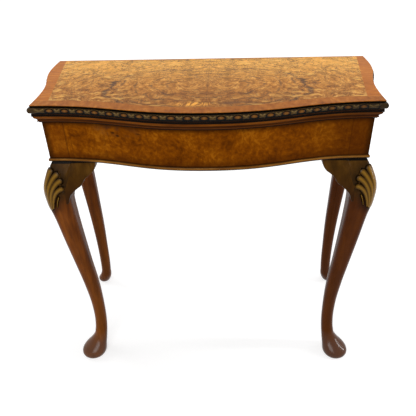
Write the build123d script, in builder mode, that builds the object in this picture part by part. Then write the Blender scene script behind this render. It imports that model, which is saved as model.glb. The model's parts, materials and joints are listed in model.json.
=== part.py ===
from build123d import *
from math import cos, radians, sin, sqrt
import os

# Folding card table, closed. The two leaves turn together on a pivot in the frame,
# and the upper leaf then folds over on hinges at the back edge.
# Millimetres, +Z up, front towards -Y. The origin is on the floor, under the middle of the closed table.

# Whole table
overall_height = 750
hinge_line_width = 810
tip_to_tip_width = 718
leaf_depth = 410
front_bulge = 54
front_curve_share = 0.47
side_curve_share = 0.57
overrun = 40

# Leaves
leaf_thickness = 19.7
fold_gap = 0.3
slide_gap = 0.3
face_veneer = 1.0
playing_layer = 1.0
edge_width = 12
carved_projection = 5
carved_band_height = 14
carved_quirk = 0.6
carved_foot_setback = 1.5
lower_fillet_height = 7
lower_quirk = 2
ogee_foot_width = 5
ogee_foot_height = 1.2
round_section_shares = [(0, 0), (0.1, 0.49), (0.25, 0.82), (0.5, 1), (0.75, 0.82), (0.9, 0.49), (1, 0)]
ogee_section_shares = [(0, 0), (0.26, 0.16), (0.46, 0.5), (0.67, 0.84), (1, 1)]
side_band_front = 30
side_band_back = 18
front_band = 30
back_band = 5
baize_border = 42

# Frame
rail_thickness = 20
veneer_thickness = 2
frieze_height = 85
bead_height = 8
bead_projection = 3
bead_nose = 3
frieze_side_setback = 11
frieze_front_setback = 18
frieze_back_setback = 8
strip_thickness = 1.0
strip_width = 14
strip_inset = 5
well_board = 6
lining_thickness = 1.0
post_width = 45
tenon_length = 14
tenon_thickness = 8
tenon_shoulder = 12

# Pivot
pivot_rail_width = 60
pivot_rail_height = 22
pivot_plate_width = 70
pivot_plate_thickness = 3
pivot_pin_radius = 6
pivot_clearance = 0.05
bush_wall = 3
bush_flange_radius = 13
washer_radius = 14
washer_thickness = 2
washer_gap = 0.2
nut_across_flats = 19
nut_sides = 6
nut_height = 8
pin_end = 3
pin_chamfer = 1
plate_screw_share = 0.37
stop_rail_clearance = 2
stop_height = 16
stop_clearance = 0.3

# Hinges
hinge_length = 60
hinge_from_end = 45
hinge_plate_height = 16
hinge_plate_thickness = 1.6
hinge_screw_share = 0.6
knuckles_per_hinge = 3
knuckle_radius = 2.6
knuckle_gap = 0.2
hinge_pin_radius = 1.2
hinge_pin_clearance = 0.05
axis_standoff = 0.15
recess_clearance = 0.3

# Screws
screw_radius = 1.6
screw_head_radius = 3.0
screw_head_depth = 1.5
screw_length = 15
screw_sides = 10

# Legs. Each row of the section tables gives a height as a share of the leg's height, how far the centre
# stands out along both rails as a share of the knee's kick, a width as a share of the knee's width,
# the corner radius as a share of that width, and how far the centre has moved from the ankle's axis
# to the post's.
front_knee_width = 56
front_knee_kick = 24
front_ankle_offset = 4
rear_knee_width = 50
rear_knee_kick = 17
rear_ankle_side_offset = 3.3
rear_ankle_back_offset = -8.4
front_section_shares = [
    (0.000, 0.82, 1.067, 0.490, 0),
    (0.008, 0.82, 1.180, 0.495, 0),
    (0.022, 0.79, 1.221, 0.495, 0),
    (0.040, 0.61, 1.091, 0.495, 0),
    (0.060, 0.28, 0.844, 0.490, 0),
    (0.084, 0.00, 0.654, 0.490, 0),
    (0.115, -0.15, 0.594, 0.490, 0),
    (0.160, -0.26, 0.572, 0.490, 0),
    (0.260, -0.31, 0.584, 0.480, 0),
    (0.390, -0.17, 0.664, 0.440, 0),
    (0.520, 0.11, 0.726, 0.400, 0),
    (0.650, 0.38, 0.811, 0.360, 0),
    (0.763, 0.59, 0.883, 0.320, 0),
    (0.845, 0.73, 0.991, 0.300, 0),
    (0.905, 0.67, 1.031, 0.280, 0.1),
    (0.960, 0.31, 0.976, 0.220, 0.5),
]
rear_section_shares = [
    (0.000, 0.99, 0.620, 0.490, 0),
    (0.008, 0.96, 0.740, 0.495, 0),
    (0.022, 0.81, 0.810, 0.495, 0),
    (0.040, 0.52, 0.765, 0.495, 0),
    (0.060, 0.25, 0.694, 0.490, 0),
    (0.084, 0.05, 0.614, 0.490, 0),
    (0.115, -0.08, 0.603, 0.490, 0),
    (0.160, -0.18, 0.611, 0.490, 0),
    (0.260, -0.25, 0.635, 0.480, 0),
    (0.390, -0.20, 0.701, 0.440, 0),
    (0.520, 0.05, 0.771, 0.400, 0),
    (0.650, 0.39, 0.859, 0.360, 0),
    (0.763, 0.69, 0.916, 0.320, 0),
    (0.845, 0.88, 0.973, 0.290, 0),
    (0.905, 0.86, 1.000, 0.260, 0.15),
    (0.960, 0.49, 0.958, 0.220, 0.6),
]
post_corner_radius = 3
corner_flats = 3

# Knee blocks. Each row gives a distance along the rail and a drop below it, as shares of the block.
ear_width = 72
ear_height_share = 0.1623
ear_depth = 26
ear_root = 20
ear_lap = 12
ear_setback = 0.8
ear_outline_shares = [(1.0, 0.0), (0.93, 0.19), (0.83, 0.31), (0.70, 0.38), (0.57, 0.46),
                      (0.45, 0.59), (0.32, 0.65), (0.185, 0.73), (0.07, 0.84), (0.0, 1.0)]
ear_face_shares = [0, 0.25, 0.5, 0.75, 1]

# Shells carved on the front knees
shell_root_height_share = 0.812
shell_tip_height_shares = [0.970, 0.957, 0.936, 0.900]
shell_tip_angles = [13, 46, 68, 82]
shell_root_angles = [4, 9, 14, 19]
shell_tip_radius = 6.8
shell_root_radius = 2
shell_sink_share = 0.3
shell_curl_power = 2.6
shell_section_sides = 8
shell_station_shares = [(0, 0), (0.35, 0.35), (0.7, 0.7), (0.92, 0.95), (0.97, 0.75), (1, 0.4)]

# Heights
top_z = overall_height
upper_z = top_z - leaf_thickness
lower_top_z = upper_z - fold_gap
lower_z = lower_top_z - leaf_thickness
strip_top_z = lower_z - slide_gap
rail_top_z = strip_top_z - strip_thickness
frieze_z = rail_top_z - frieze_height
leg_height = frieze_z - bead_height
ear_height = leg_height * ear_height_share
upper_core = leaf_thickness - face_veneer - playing_layer
lower_core = leaf_thickness - playing_layer

# Plan. The closed table, knuckles and carved moulding included, is centred on the origin.
knuckle_proud = axis_standoff + knuckle_radius
back_y = (leaf_depth + carved_projection - knuckle_proud) / 2
tip_y = back_y - leaf_depth + front_bulge
back_half = hinge_line_width / 2
tip_half = tip_to_tip_width / 2
hinge_axis_y = back_y + axis_standoff
hinge_axis_z = lower_top_z + fold_gap / 2
hinge_middle_x = back_half - hinge_from_end - hinge_length / 2
knuckle_length = hinge_length / knuckles_per_hinge

# Frame corners, inside the veneer
core_side_inset = frieze_side_setback + veneer_thickness
core_front_inset = frieze_front_setback + veneer_thickness
frame_back_y = back_y - frieze_back_setback
front_corner_x = tip_half - core_side_inset
front_corner_y = tip_y + core_front_inset
rear_corner_x = back_half - core_side_inset
rear_corner_y = frame_back_y

# The pivot sits where a quarter turn brings the hinge line over the middle of the frame
frame_middle_y = (tip_y - front_bulge + frieze_front_setback + frame_back_y) / 2
pivot_x = (hinge_axis_y - frame_middle_y) / 2
pivot_y = (hinge_axis_y + frame_middle_y) / 2


def front_curves(narrow, corner_y):
    """Serpentine front between two corners."""
    pull = narrow * front_curve_share
    for sign in (-1, 1):
        Bezier((sign * narrow, corner_y), (sign * (narrow - pull), corner_y),
               (sign * pull, corner_y - front_bulge), (0, corner_y - front_bulge))


def side_curve(sign, side_inset, front_inset, back):
    """Cyma of one side, from the back to the front corner."""
    wide = back_half - side_inset
    narrow = tip_half - side_inset
    corner_y = tip_y + front_inset
    pull = (back - corner_y) * side_curve_share
    Bezier((sign * wide, back), (sign * wide, back - pull),
           (sign * narrow, corner_y + pull), (sign * narrow, corner_y))


def plan_outline(side_inset, front_inset, back):
    """Straight back, cyma sides and serpentine front, set in from the flat edge of the top."""
    Line((side_inset - back_half, back), (back_half - side_inset, back))
    for sign in (-1, 1):
        side_curve(sign, side_inset, front_inset, back)
    front_curves(tip_half - side_inset, tip_y + front_inset)


def plan_layer(z, height, side_inset, front_inset, back, mode=Mode.ADD):
    """A flat layer with the plan outline."""
    with BuildSketch(Plane.XY.offset(z)) as layer:
        with BuildLine():
            plan_outline(side_inset, front_inset, back)
        make_face()
    extrude(layer.sketch, amount=height, mode=mode)


def block(x_from, x_to, y_from, y_to, z_from, z_to, mode=Mode.ADD):
    """A block given by its faces."""
    with BuildSketch(Plane(((x_from + x_to) / 2, (y_from + y_to) / 2, z_from))) as base:
        Rectangle(abs(x_to - x_from), abs(y_to - y_from))
    extrude(base.sketch, amount=z_to - z_from, mode=mode)


def cylinder(start, radius, length, mode=Mode.ADD):
    """A cylinder from a plane, along its normal."""
    with BuildSketch(start) as end:
        Circle(radius)
    extrude(end.sketch, amount=length, mode=mode)


def screw(start, mode=Mode.ADD):
    """A countersunk screw whose head lies in a plane and whose shank runs along the plane's normal."""
    neck_plane = start.offset(screw_head_depth)
    with BuildSketch(start) as head:
        RegularPolygon(screw_head_radius, screw_sides)
    with BuildSketch(neck_plane) as neck:
        RegularPolygon(screw_radius, screw_sides)
    loft(sections=[head.sketch, neck.sketch], ruled=True, mode=mode)
    extrude(neck.sketch, amount=screw_length - screw_head_depth, mode=mode)


def finish(piece, name):
    """Labels a piece and writes it."""
    piece.part.label = name
    export_step(piece.part, f"parts/{name}.step")


def finish_pair(piece, name):
    """Writes a left piece and its mirror image on the right."""
    finish(piece, f"{name}_left")
    with BuildPart() as other:
        mirror(piece.part, about=Plane.YZ)
    finish(other, f"{name}_right")


os.makedirs("parts", exist_ok=True)
wide_x = back_half + overrun
deep_y = leaf_depth / 2 + overrun


def hinge_recesses(leaf_side):
    """Housings for both hinges in a leaf's back edge; leaf_side is 1 above the fold and -1 below."""
    for sign in (-1, 1):
        start_x = sign * hinge_middle_x - hinge_length / 2
        start = Plane((start_x, hinge_axis_y, hinge_axis_z), z_dir=(1, 0, 0))
        cylinder(start, knuckle_radius + recess_clearance, hinge_length, mode=Mode.SUBTRACT)
        edge_z = hinge_axis_z + leaf_side * hinge_plate_height
        block(start_x, start_x + hinge_length, back_y - hinge_plate_thickness, back_y + knuckle_radius,
              min(hinge_axis_z, edge_z), max(hinge_axis_z, edge_z), mode=Mode.SUBTRACT)


def screw_places(leaf_side):
    """Screw centres in a leaf's hinge plates."""
    z = hinge_axis_z + leaf_side * hinge_plate_height * hinge_screw_share
    return [(sign * hinge_middle_x + step * knuckle_length, z) for sign in (-1, 1) for step in (-1, 0, 1)]


def hinge_screw_shapes(leaf_side, mode=Mode.ADD):
    """Countersunk screws through the hinge plates, into the back edge."""
    for x, z in screw_places(leaf_side):
        screw(Plane((x, back_y, z), x_dir=(1, 0, 0), z_dir=(0, -1, 0)), mode=mode)


# Upper leaf: board, veneers and playing surface
with BuildPart() as upper_board:
    plan_layer(upper_z + playing_layer, upper_core, edge_width, edge_width, back_y)
    hinge_recesses(1)
    hinge_screw_shapes(1, mode=Mode.SUBTRACT)
finish(upper_board, "upper_board")

field_back_y = back_y - back_band
field_back_half = back_half - side_band_back
field_tip_half = tip_half - side_band_front
field_corner_y = tip_y + front_band


def burr_field(mode=Mode.ADD):
    """The field of burr veneer: straight sides between the back band and the serpentine front band."""
    with BuildSketch(Plane.XY.offset(top_z - face_veneer)) as field:
        with BuildLine():
            Line((-field_back_half, field_back_y), (field_back_half, field_back_y))
            for sign in (-1, 1):
                Line((sign * field_back_half, field_back_y), (sign * field_tip_half, field_corner_y))
            front_curves(field_tip_half, field_corner_y)
        make_face()
    extrude(field.sketch, amount=face_veneer, mode=mode)


with BuildPart() as burr_veneer:
    burr_field()
    block(0, wide_x, -deep_y, deep_y, upper_z, top_z + overrun, mode=Mode.SUBTRACT)
finish_pair(burr_veneer, "burr_veneer")

with BuildPart() as crossband_side:
    plan_layer(top_z - face_veneer, face_veneer, 0, 0, back_y)
    burr_field(mode=Mode.SUBTRACT)
    block(-field_back_half, wide_x, field_back_y, deep_y, upper_z, top_z + overrun, mode=Mode.SUBTRACT)
    block(0, wide_x, -deep_y, deep_y, upper_z, top_z + overrun, mode=Mode.SUBTRACT)
    block(-wide_x, wide_x, -deep_y, field_corner_y, upper_z, top_z + overrun, mode=Mode.SUBTRACT)
finish_pair(crossband_side, "crossband")

with BuildPart() as crossband_front:
    plan_layer(top_z - face_veneer, face_veneer, 0, 0, back_y)
    burr_field(mode=Mode.SUBTRACT)
    block(-wide_x, wide_x, field_corner_y, deep_y, upper_z, top_z + overrun, mode=Mode.SUBTRACT)
finish(crossband_front, "crossband_front")

with BuildPart() as crossband_back:
    block(-field_back_half, field_back_half, field_back_y, back_y, top_z - face_veneer, top_z)
finish(crossband_back, "crossband_back")

# Playing surfaces of both leaves: a veneered border round a field of baize that runs to the fold
for leaf, z, leaf_side in (("upper", upper_z, 1), ("lower", lower_top_z - playing_layer, -1)):
    with BuildPart() as border:
        plan_layer(z, playing_layer, 0, 0, back_y)
        plan_layer(z, playing_layer, baize_border, baize_border, back_y, mode=Mode.SUBTRACT)
    finish(border, f"{leaf}_border")
    with BuildPart() as baize:
        plan_layer(z, playing_layer, baize_border, baize_border, back_y)
        hinge_recesses(leaf_side)
    finish(baize, f"{leaf}_baize")

# Lower leaf: board, let in below for the pivot's plate
plate_low = (pivot_x - pivot_plate_width / 2, pivot_y - pivot_plate_width / 2)
plate_high = (pivot_x + pivot_plate_width / 2, pivot_y + pivot_plate_width / 2)
plate_screw_offset = pivot_plate_width * plate_screw_share
plate_screw_places = [(pivot_x + i * plate_screw_offset, pivot_y + j * plate_screw_offset)
                      for i in (-1, 1) for j in (-1, 1)]


def plate_screw_shapes(mode=Mode.ADD):
    """Countersunk screws up through the pivot's plate, into the lower board."""
    for x, y in plate_screw_places:
        screw(Plane((x, y, lower_z)), mode=mode)


with BuildPart() as lower_board:
    plan_layer(lower_z, lower_core, edge_width, edge_width, back_y)
    hinge_recesses(-1)
    hinge_screw_shapes(-1, mode=Mode.SUBTRACT)
    block(plate_low[0], plate_high[0], plate_low[1], plate_high[1],
          lower_z, lower_z + pivot_plate_thickness, mode=Mode.SUBTRACT)
    plate_screw_shapes(mode=Mode.SUBTRACT)
finish(lower_board, "lower_board")


# Mouldings: layers ruled between strips of the plan. The corners of a strip lie on the mitre at any width,
# so the lengths meet in mitres where the front turns into a side.
def front_strip(z, reach, side_inset, front_inset):
    """Strip along the front at one height, reaching out from its inner line."""
    narrow = tip_half - side_inset
    corner_y = tip_y + front_inset
    with BuildSketch(Plane.XY.offset(z)) as strip:
        with BuildLine():
            front_curves(narrow, corner_y)
            front_curves(narrow + reach, corner_y - reach)
            for sign in (-1, 1):
                Line((sign * narrow, corner_y), (sign * (narrow + reach), corner_y - reach))
        make_face()
    return strip.sketch


def side_strip(z, reach, side_inset, front_inset, back):
    """Strip along the left side at one height, reaching out from its inner line."""
    wide = back_half - side_inset
    narrow = tip_half - side_inset
    corner_y = tip_y + front_inset
    with BuildSketch(Plane.XY.offset(z)) as strip:
        with BuildLine():
            side_curve(-1, side_inset, front_inset, back)
            side_curve(-1, side_inset - reach, front_inset - reach, back)
            Line((-wide, back), (-wide - reach, back))
            Line((-narrow, corner_y), (-narrow - reach, corner_y - reach))
        make_face()
    return strip.sketch


def moulding(strip, place, z, levels):
    """A length of moulding; each level gives a height over z and how far the section reaches out."""
    for (low, low_reach), (high, high_reach) in zip(levels, levels[1:]):
        if high > low:
            low_strip = strip(z + low, low_reach, *place)
            high_strip = strip(z + high, high_reach, *place)
            loft(sections=[low_strip, high_strip], ruled=True)


def curved_levels(low, high, reach_low, reach_high, shares):
    """Levels of a curved face between two heights and two reaches."""
    return [(low + (high - low) * share, reach_low + (reach_high - reach_low) * swell)
            for share, swell in shares]


# The upper leaf has a bold half round over a small foot, the lower one a flat fillet over an ogee
band_top = upper_core - carved_quirk
band_foot = band_top - carved_band_height
carved_levels = [(0, edge_width - carved_foot_setback), (band_foot, edge_width - carved_foot_setback)]
carved_levels += curved_levels(band_foot, band_top, edge_width, edge_width + carved_projection,
                               round_section_shares)
carved_levels += [(upper_core, edge_width)]
fillet_foot = lower_core - lower_fillet_height
ogee_levels = [(0, ogee_foot_width)]
ogee_levels += curved_levels(ogee_foot_height, fillet_foot, ogee_foot_width, edge_width - lower_quirk,
                             ogee_section_shares)
ogee_levels += [(fillet_foot, edge_width), (lower_core, edge_width)]
for name, z, levels in (("carved_edge", upper_z + playing_layer, carved_levels),
                        ("lower_edge", lower_z, ogee_levels)):
    with BuildPart() as edge:
        moulding(front_strip, (edge_width, edge_width), z, levels)
    finish(edge, f"{name}_front")
    with BuildPart() as edge:
        moulding(side_strip, (edge_width, edge_width, back_y), z, levels)
    finish_pair(edge, name)


# Hinges
def knuckle(x_from, length, radius, mode=Mode.ADD):
    """A cylinder on the hinge axis."""
    cylinder(Plane((x_from, hinge_axis_y, hinge_axis_z), z_dir=(1, 0, 0)), radius, length, mode=mode)


for leaf, leaf_side in (("lower", -1), ("upper", 1)):
    for side, sign in (("left", -1), ("right", 1)):
        start_x = sign * hinge_middle_x - hinge_length / 2
        own = (1,) if leaf == "upper" else (0, 2)
        with BuildPart() as hinge_leaf:
            edge_z = hinge_axis_z + leaf_side * hinge_plate_height
            near_z = hinge_axis_z + leaf_side * fold_gap / 2
            block(start_x, start_x + hinge_length, back_y - hinge_plate_thickness, back_y,
                  min(near_z, edge_z), max(near_z, edge_z))
            for place in (0, 1, 2):
                if place not in own:
                    knuckle(start_x + place * knuckle_length, knuckle_length,
                            knuckle_radius + recess_clearance, mode=Mode.SUBTRACT)
            for place in own:
                knuckle(start_x + place * knuckle_length + knuckle_gap / 2,
                        knuckle_length - knuckle_gap, knuckle_radius)
            bore = hinge_pin_radius + (hinge_pin_clearance if leaf == "upper" else 0)
            knuckle(start_x, hinge_length, bore, mode=Mode.SUBTRACT)
            hinge_screw_shapes(leaf_side, mode=Mode.SUBTRACT)
        finish(hinge_leaf, f"hinge_{leaf}_{side}")
        if leaf == "lower":
            with BuildPart() as hinge_pin:
                knuckle(start_x, hinge_length, hinge_pin_radius)
            finish(hinge_pin, f"hinge_pin_{side}")
    with BuildPart() as hinge_screws:
        hinge_screw_shapes(leaf_side)
    finish(hinge_screws, f"hinge_screws_{leaf}")

# Pivot: plate and pin turn with the leaf, the bush stays in the frame
rail_under_z = rail_top_z - pivot_rail_height
washer_top_z = rail_under_z - washer_gap
nut_top_z = washer_top_z - washer_thickness
pin_foot_z = nut_top_z - nut_height - pin_end


def pivot_cylinder(z_from, z_to, radius, mode=Mode.ADD):
    """A cylinder on the pivot's axis."""
    cylinder(Plane((pivot_x, pivot_y, z_from)), radius, z_to - z_from, mode=mode)


with BuildPart() as pivot_plate:
    block(plate_low[0], plate_high[0], plate_low[1], plate_high[1], lower_z, lower_z + pivot_plate_thickness)
    pivot_cylinder(lower_z, lower_z + pivot_plate_thickness, pivot_pin_radius, mode=Mode.SUBTRACT)
    plate_screw_shapes(mode=Mode.SUBTRACT)
finish(pivot_plate, "pivot_plate")

with BuildPart() as pivot_pin:
    pivot_cylinder(pin_foot_z, lower_z + pivot_plate_thickness, pivot_pin_radius)
    chamfer(pivot_pin.edges().group_by(Axis.Z)[0], pin_chamfer)
finish(pivot_pin, "pivot_pin")

with BuildPart() as plate_screws:
    plate_screw_shapes()
finish(plate_screws, "plate_screws")

with BuildPart() as pivot_washer:
    pivot_cylinder(nut_top_z, washer_top_z, washer_radius)
    pivot_cylinder(nut_top_z, washer_top_z, pivot_pin_radius, mode=Mode.SUBTRACT)
finish(pivot_washer, "pivot_washer")

with BuildPart() as pivot_nut:
    with BuildSketch(Plane((pivot_x, pivot_y, nut_top_z - nut_height))):
        RegularPolygon(nut_across_flats / 2, nut_sides, major_radius=False)
        Circle(pivot_pin_radius, mode=Mode.SUBTRACT)
    extrude(amount=nut_height)
finish(pivot_nut, "pivot_nut")

with BuildPart() as pivot_bush:
    pivot_cylinder(rail_under_z, rail_top_z, pivot_pin_radius + bush_wall)
    pivot_cylinder(rail_top_z, strip_top_z, bush_flange_radius)
    pivot_cylinder(rail_under_z, strip_top_z, pivot_pin_radius + pivot_clearance, mode=Mode.SUBTRACT)
finish(pivot_bush, "pivot_bush")

# Stop: a quadrant under the lower leaf that meets the pivot rail at both ends of the quarter turn
stop_radius = frame_back_y - rail_thickness - pivot_y - stop_rail_clearance
with BuildPart() as stop_block:
    with BuildSketch(Plane((pivot_x, pivot_y, lower_z - stop_height))):
        Circle(stop_radius)
        reach = pivot_rail_width / 2 + stop_clearance
        with Locations((-reach + stop_radius, 0)):
            Rectangle(2 * stop_radius, 2 * stop_radius, mode=Mode.SUBTRACT)
        with Locations((0, reach - stop_radius)):
            Rectangle(2 * stop_radius, 2 * stop_radius, mode=Mode.SUBTRACT)
    extrude(amount=stop_height)
finish(stop_block, "stop_block")

# Frame: rails between the corner posts, their faces parallel to the serpentine of the top
core_height = rail_top_z - leg_height
inner_side_inset = core_side_inset + rail_thickness
inner_front_inset = core_front_inset + rail_thickness
inner_back_y = frame_back_y - rail_thickness
front_post_x = front_corner_x - post_width
front_post_y = front_corner_y + post_width
rear_post_x = rear_corner_x - post_width
rear_post_y = rear_corner_y - post_width
tenon_top_z = rail_top_z - tenon_shoulder
tenon_foot_z = leg_height + tenon_shoulder


def carcase_ring(z_from, z_to):
    """The four rails in one ring."""
    plan_layer(z_from, z_to - z_from, core_side_inset, core_front_inset, frame_back_y)
    plan_layer(z_from, z_to - z_from, inner_side_inset, inner_front_inset, inner_back_y, mode=Mode.SUBTRACT)


def front_tenons(mode=Mode.ADD):
    """Tenons of the front rail, in the front posts."""
    mid_y = front_corner_y + rail_thickness / 2
    for sign in (-1, 1):
        block(sign * front_post_x, sign * (front_post_x + tenon_length), mid_y - tenon_thickness / 2,
              mid_y + tenon_thickness / 2, tenon_foot_z, tenon_top_z, mode=mode)


def back_tenons(mode=Mode.ADD):
    """Tenons of the back rail, in the rear posts."""
    mid_y = frame_back_y - rail_thickness / 2
    for sign in (-1, 1):
        block(sign * rear_post_x, sign * (rear_post_x + tenon_length), mid_y - tenon_thickness / 2,
              mid_y + tenon_thickness / 2, tenon_foot_z, tenon_top_z, mode=mode)


def side_tenons(mode=Mode.ADD):
    """Tenons of the left rail, in its front and rear posts."""
    for corner_x, post_y, direction in ((front_corner_x, front_post_y, -1),
                                        (rear_corner_x, rear_post_y, 1)):
        mid_x = rail_thickness / 2 - corner_x
        ends = sorted((post_y, post_y + direction * tenon_length))
        block(mid_x - tenon_thickness / 2, mid_x + tenon_thickness / 2, ends[0], ends[1],
              tenon_foot_z, tenon_top_z, mode=mode)


with BuildPart() as front_rail:
    carcase_ring(leg_height, rail_top_z)
    block(-front_post_x, front_post_x, -deep_y, front_post_y, leg_height, rail_top_z, mode=Mode.INTERSECT)
    front_tenons()
finish(front_rail, "front_rail")

with BuildPart() as back_rail:
    carcase_ring(leg_height, rail_top_z)
    block(-rear_post_x, rear_post_x, rear_post_y, deep_y, leg_height, rail_top_z, mode=Mode.INTERSECT)
    back_tenons()
finish(back_rail, "back_rail")

with BuildPart() as side_rail:
    carcase_ring(leg_height, rail_top_z)
    block(0, -wide_x, front_post_y, rear_post_y, leg_height, rail_top_z, mode=Mode.INTERSECT)
    side_tenons()
finish_pair(side_rail, "side_rail")

# Frieze veneers: the front one laps the ends of the side ones
lap_y = tip_y + frieze_front_setback + veneer_thickness


def frieze_skin(z_from, z_to):
    """A skin round the frame's core."""
    plan_layer(z_from, z_to - z_from, frieze_side_setback, frieze_front_setback, frame_back_y)
    plan_layer(z_from, z_to - z_from, core_side_inset, core_front_inset, frame_back_y, mode=Mode.SUBTRACT)


with BuildPart() as veneer:
    frieze_skin(frieze_z, rail_top_z)
    block(-wide_x, wide_x, -deep_y, lap_y, frieze_z, rail_top_z, mode=Mode.INTERSECT)
finish(veneer, "frieze_veneer_front")

with BuildPart() as veneer:
    frieze_skin(frieze_z, rail_top_z)
    block(0, -wide_x, lap_y, deep_y, frieze_z, rail_top_z, mode=Mode.INTERSECT)
finish_pair(veneer, "frieze_veneer")


# Cockbead under the frieze, its rounded nose standing proud
bead_reach = veneer_thickness + bead_projection
bead_levels = curved_levels(0, bead_height, bead_reach - bead_nose, bead_reach, round_section_shares)
with BuildPart() as bead:
    moulding(front_strip, (core_side_inset, core_front_inset), leg_height, bead_levels)
finish(bead, "cockbead_front")

with BuildPart() as bead:
    moulding(side_strip, (core_side_inset, core_front_inset, frame_back_y), leg_height, bead_levels)
finish_pair(bead, "cockbead")

# Pivot rail, between the front and back rails
with BuildPart() as pivot_rail:
    plan_layer(rail_under_z, pivot_rail_height, inner_side_inset, inner_front_inset, inner_back_y)
    block(pivot_x - pivot_rail_width / 2, pivot_x + pivot_rail_width / 2, -deep_y, deep_y,
          rail_under_z, rail_top_z, mode=Mode.INTERSECT)
    pivot_cylinder(rail_under_z, rail_top_z, pivot_pin_radius + bush_wall, mode=Mode.SUBTRACT)
finish(pivot_rail, "pivot_rail")

# Well: a board between the rails, lined with baize
for name, z, height in (("well_board", leg_height, well_board),
                        ("well_lining", leg_height + well_board, lining_thickness)):
    with BuildPart() as floor:
        plan_layer(z, height, inner_side_inset, inner_front_inset, inner_back_y)
        for sign in (-1, 1):
            block(sign * front_post_x, sign * wide_x, -deep_y, front_post_y,
                  z, z + height, mode=Mode.SUBTRACT)
            block(sign * rear_post_x, sign * wide_x, rear_post_y, deep_y,
                  z, z + height, mode=Mode.SUBTRACT)
    finish(floor, name)

# Bearing strips of baize on the rails, under the turning leaf
with BuildPart() as slide_strips:
    plan_layer(rail_top_z, strip_thickness, core_side_inset + strip_inset, core_front_inset + strip_inset,
               frame_back_y - strip_inset)
    plan_layer(rail_top_z, strip_thickness, core_side_inset + strip_inset + strip_width,
               core_front_inset + strip_inset + strip_width,
               frame_back_y - strip_inset - strip_width, mode=Mode.SUBTRACT)
finish(slide_strips, "slide_strips")


# Legs
def leg_sections(corner, sign_y, knee_width, kick, ankle_offset, shares):
    """Centre, height, width and corner radius of each section of a left leg; sign_y is -1 at the front."""
    post_centre = (corner[0] + post_width / 2, corner[1] - sign_y * post_width / 2)
    rows = []
    for height_share, kick_share, width_share, radius_share, post_share in shares:
        out_x = ankle_offset[0] * (1 - post_share) + kick * kick_share
        out_y = ankle_offset[1] * (1 - post_share) + kick * kick_share
        width = knee_width * width_share
        rows.append((post_centre[0] - out_x, post_centre[1] + sign_y * out_y,
                     leg_height * height_share, width, width * radius_share))
    rows.append((post_centre[0], post_centre[1], leg_height, post_width, post_corner_radius))
    return rows


def leg_shape(rows):
    """A cabriole leg ruled through its sections, squares whose round corners are cut in flats."""
    sections = []
    for x, y, z, width, radius in rows:
        flat = width / 2 - radius
        points = []
        for quarter, (sign_x, sign_y) in enumerate(((1, 1), (-1, 1), (-1, -1), (1, -1))):
            for step in range(corner_flats + 1):
                turn = radians(90 * (quarter + step / corner_flats))
                points.append((sign_x * flat + radius * cos(turn), sign_y * flat + radius * sin(turn)))
        with BuildSketch(Plane((x, y, z))) as section:
            with BuildLine():
                Polyline(*points, close=True)
            make_face()
        sections.append(section.sketch)
    loft(sections=sections, ruled=True)


def leg_at(rows, height):
    """Centre, width and corner radius of a leg at any height."""
    for low, high in zip(rows, rows[1:]):
        if low[2] <= height <= high[2]:
            share = (height - low[2]) / (high[2] - low[2])
            return [a + (b - a) * share for a, b in zip(low, high)]


def knee_point(rows, height, angle, sink):
    """Point on a left front knee's surface, angle degrees round from its outer corner, sunk into it."""
    x, y, z, width, radius = leg_at(rows, height)
    turn = radians(45 + angle)
    flat = width / 2 - radius
    reach = width / 2 / max(cos(turn), sin(turn))
    if min(cos(turn), sin(turn)) * reach > flat:
        along = flat * (cos(turn) + sin(turn))
        reach = along + sqrt(along * along - 2 * flat * flat + radius * radius)
    return Vector(x - (reach - sink) * cos(turn), y - (reach - sink) * sin(turn), height)


def shell(rows):
    """Lobes of a carved shell, fanning up both ways from a root low on the knee."""
    root = leg_height * shell_root_height_share
    for hand in (-1, 1):
        for tip_share, tip_angle, root_angle in zip(shell_tip_height_shares, shell_tip_angles,
                                                    shell_root_angles):
            tip = leg_height * tip_share
            stations = []
            for share, swell in shell_station_shares:
                radius = shell_root_radius + (shell_tip_radius - shell_root_radius) * swell
                angle = hand * (root_angle + (tip_angle - root_angle) * share**shell_curl_power)
                height = root + (tip - root) * share
                point = knee_point(rows, height, angle, shell_tip_radius * shell_sink_share)
                stations.append((point, radius))
            sections = []
            for i, (point, radius) in enumerate(stations):
                before = stations[max(i - 1, 0)][0]
                after = stations[min(i + 1, len(stations) - 1)][0]
                with BuildSketch(Plane(point, x_dir=(0, 0, 1), z_dir=after - before)) as section:
                    RegularPolygon(radius, shell_section_sides)
                sections.append(section.sketch)
            loft(sections=sections, ruled=True)


def post(corner, sign_y):
    """A left corner post, its outer faces following the frame."""
    block(corner[0] - overrun, corner[0] + post_width, corner[1] + sign_y * overrun,
          corner[1] - sign_y * post_width, leg_height, rail_top_z)
    plan_layer(leg_height, core_height, core_side_inset, core_front_inset, frame_back_y, mode=Mode.INTERSECT)


front_corner = (-front_corner_x, front_corner_y)
front_rows = leg_sections(front_corner, -1, front_knee_width, front_knee_kick,
                          (front_ankle_offset, front_ankle_offset), front_section_shares)
with BuildPart() as front_leg:
    post(front_corner, -1)
    front_tenons(mode=Mode.SUBTRACT)
    side_tenons(mode=Mode.SUBTRACT)
    leg_shape(front_rows)
    shell(front_rows)
finish_pair(front_leg, "front_leg")

rear_corner = (-rear_corner_x, rear_corner_y)
rear_rows = leg_sections(rear_corner, 1, rear_knee_width, rear_knee_kick,
                         (rear_ankle_side_offset, rear_ankle_back_offset), rear_section_shares)
with BuildPart() as rear_leg:
    post(rear_corner, 1)
    back_tenons(mode=Mode.SUBTRACT)
    side_tenons(mode=Mode.SUBTRACT)
    leg_shape(rear_rows)
finish_pair(rear_leg, "rear_leg")


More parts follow.
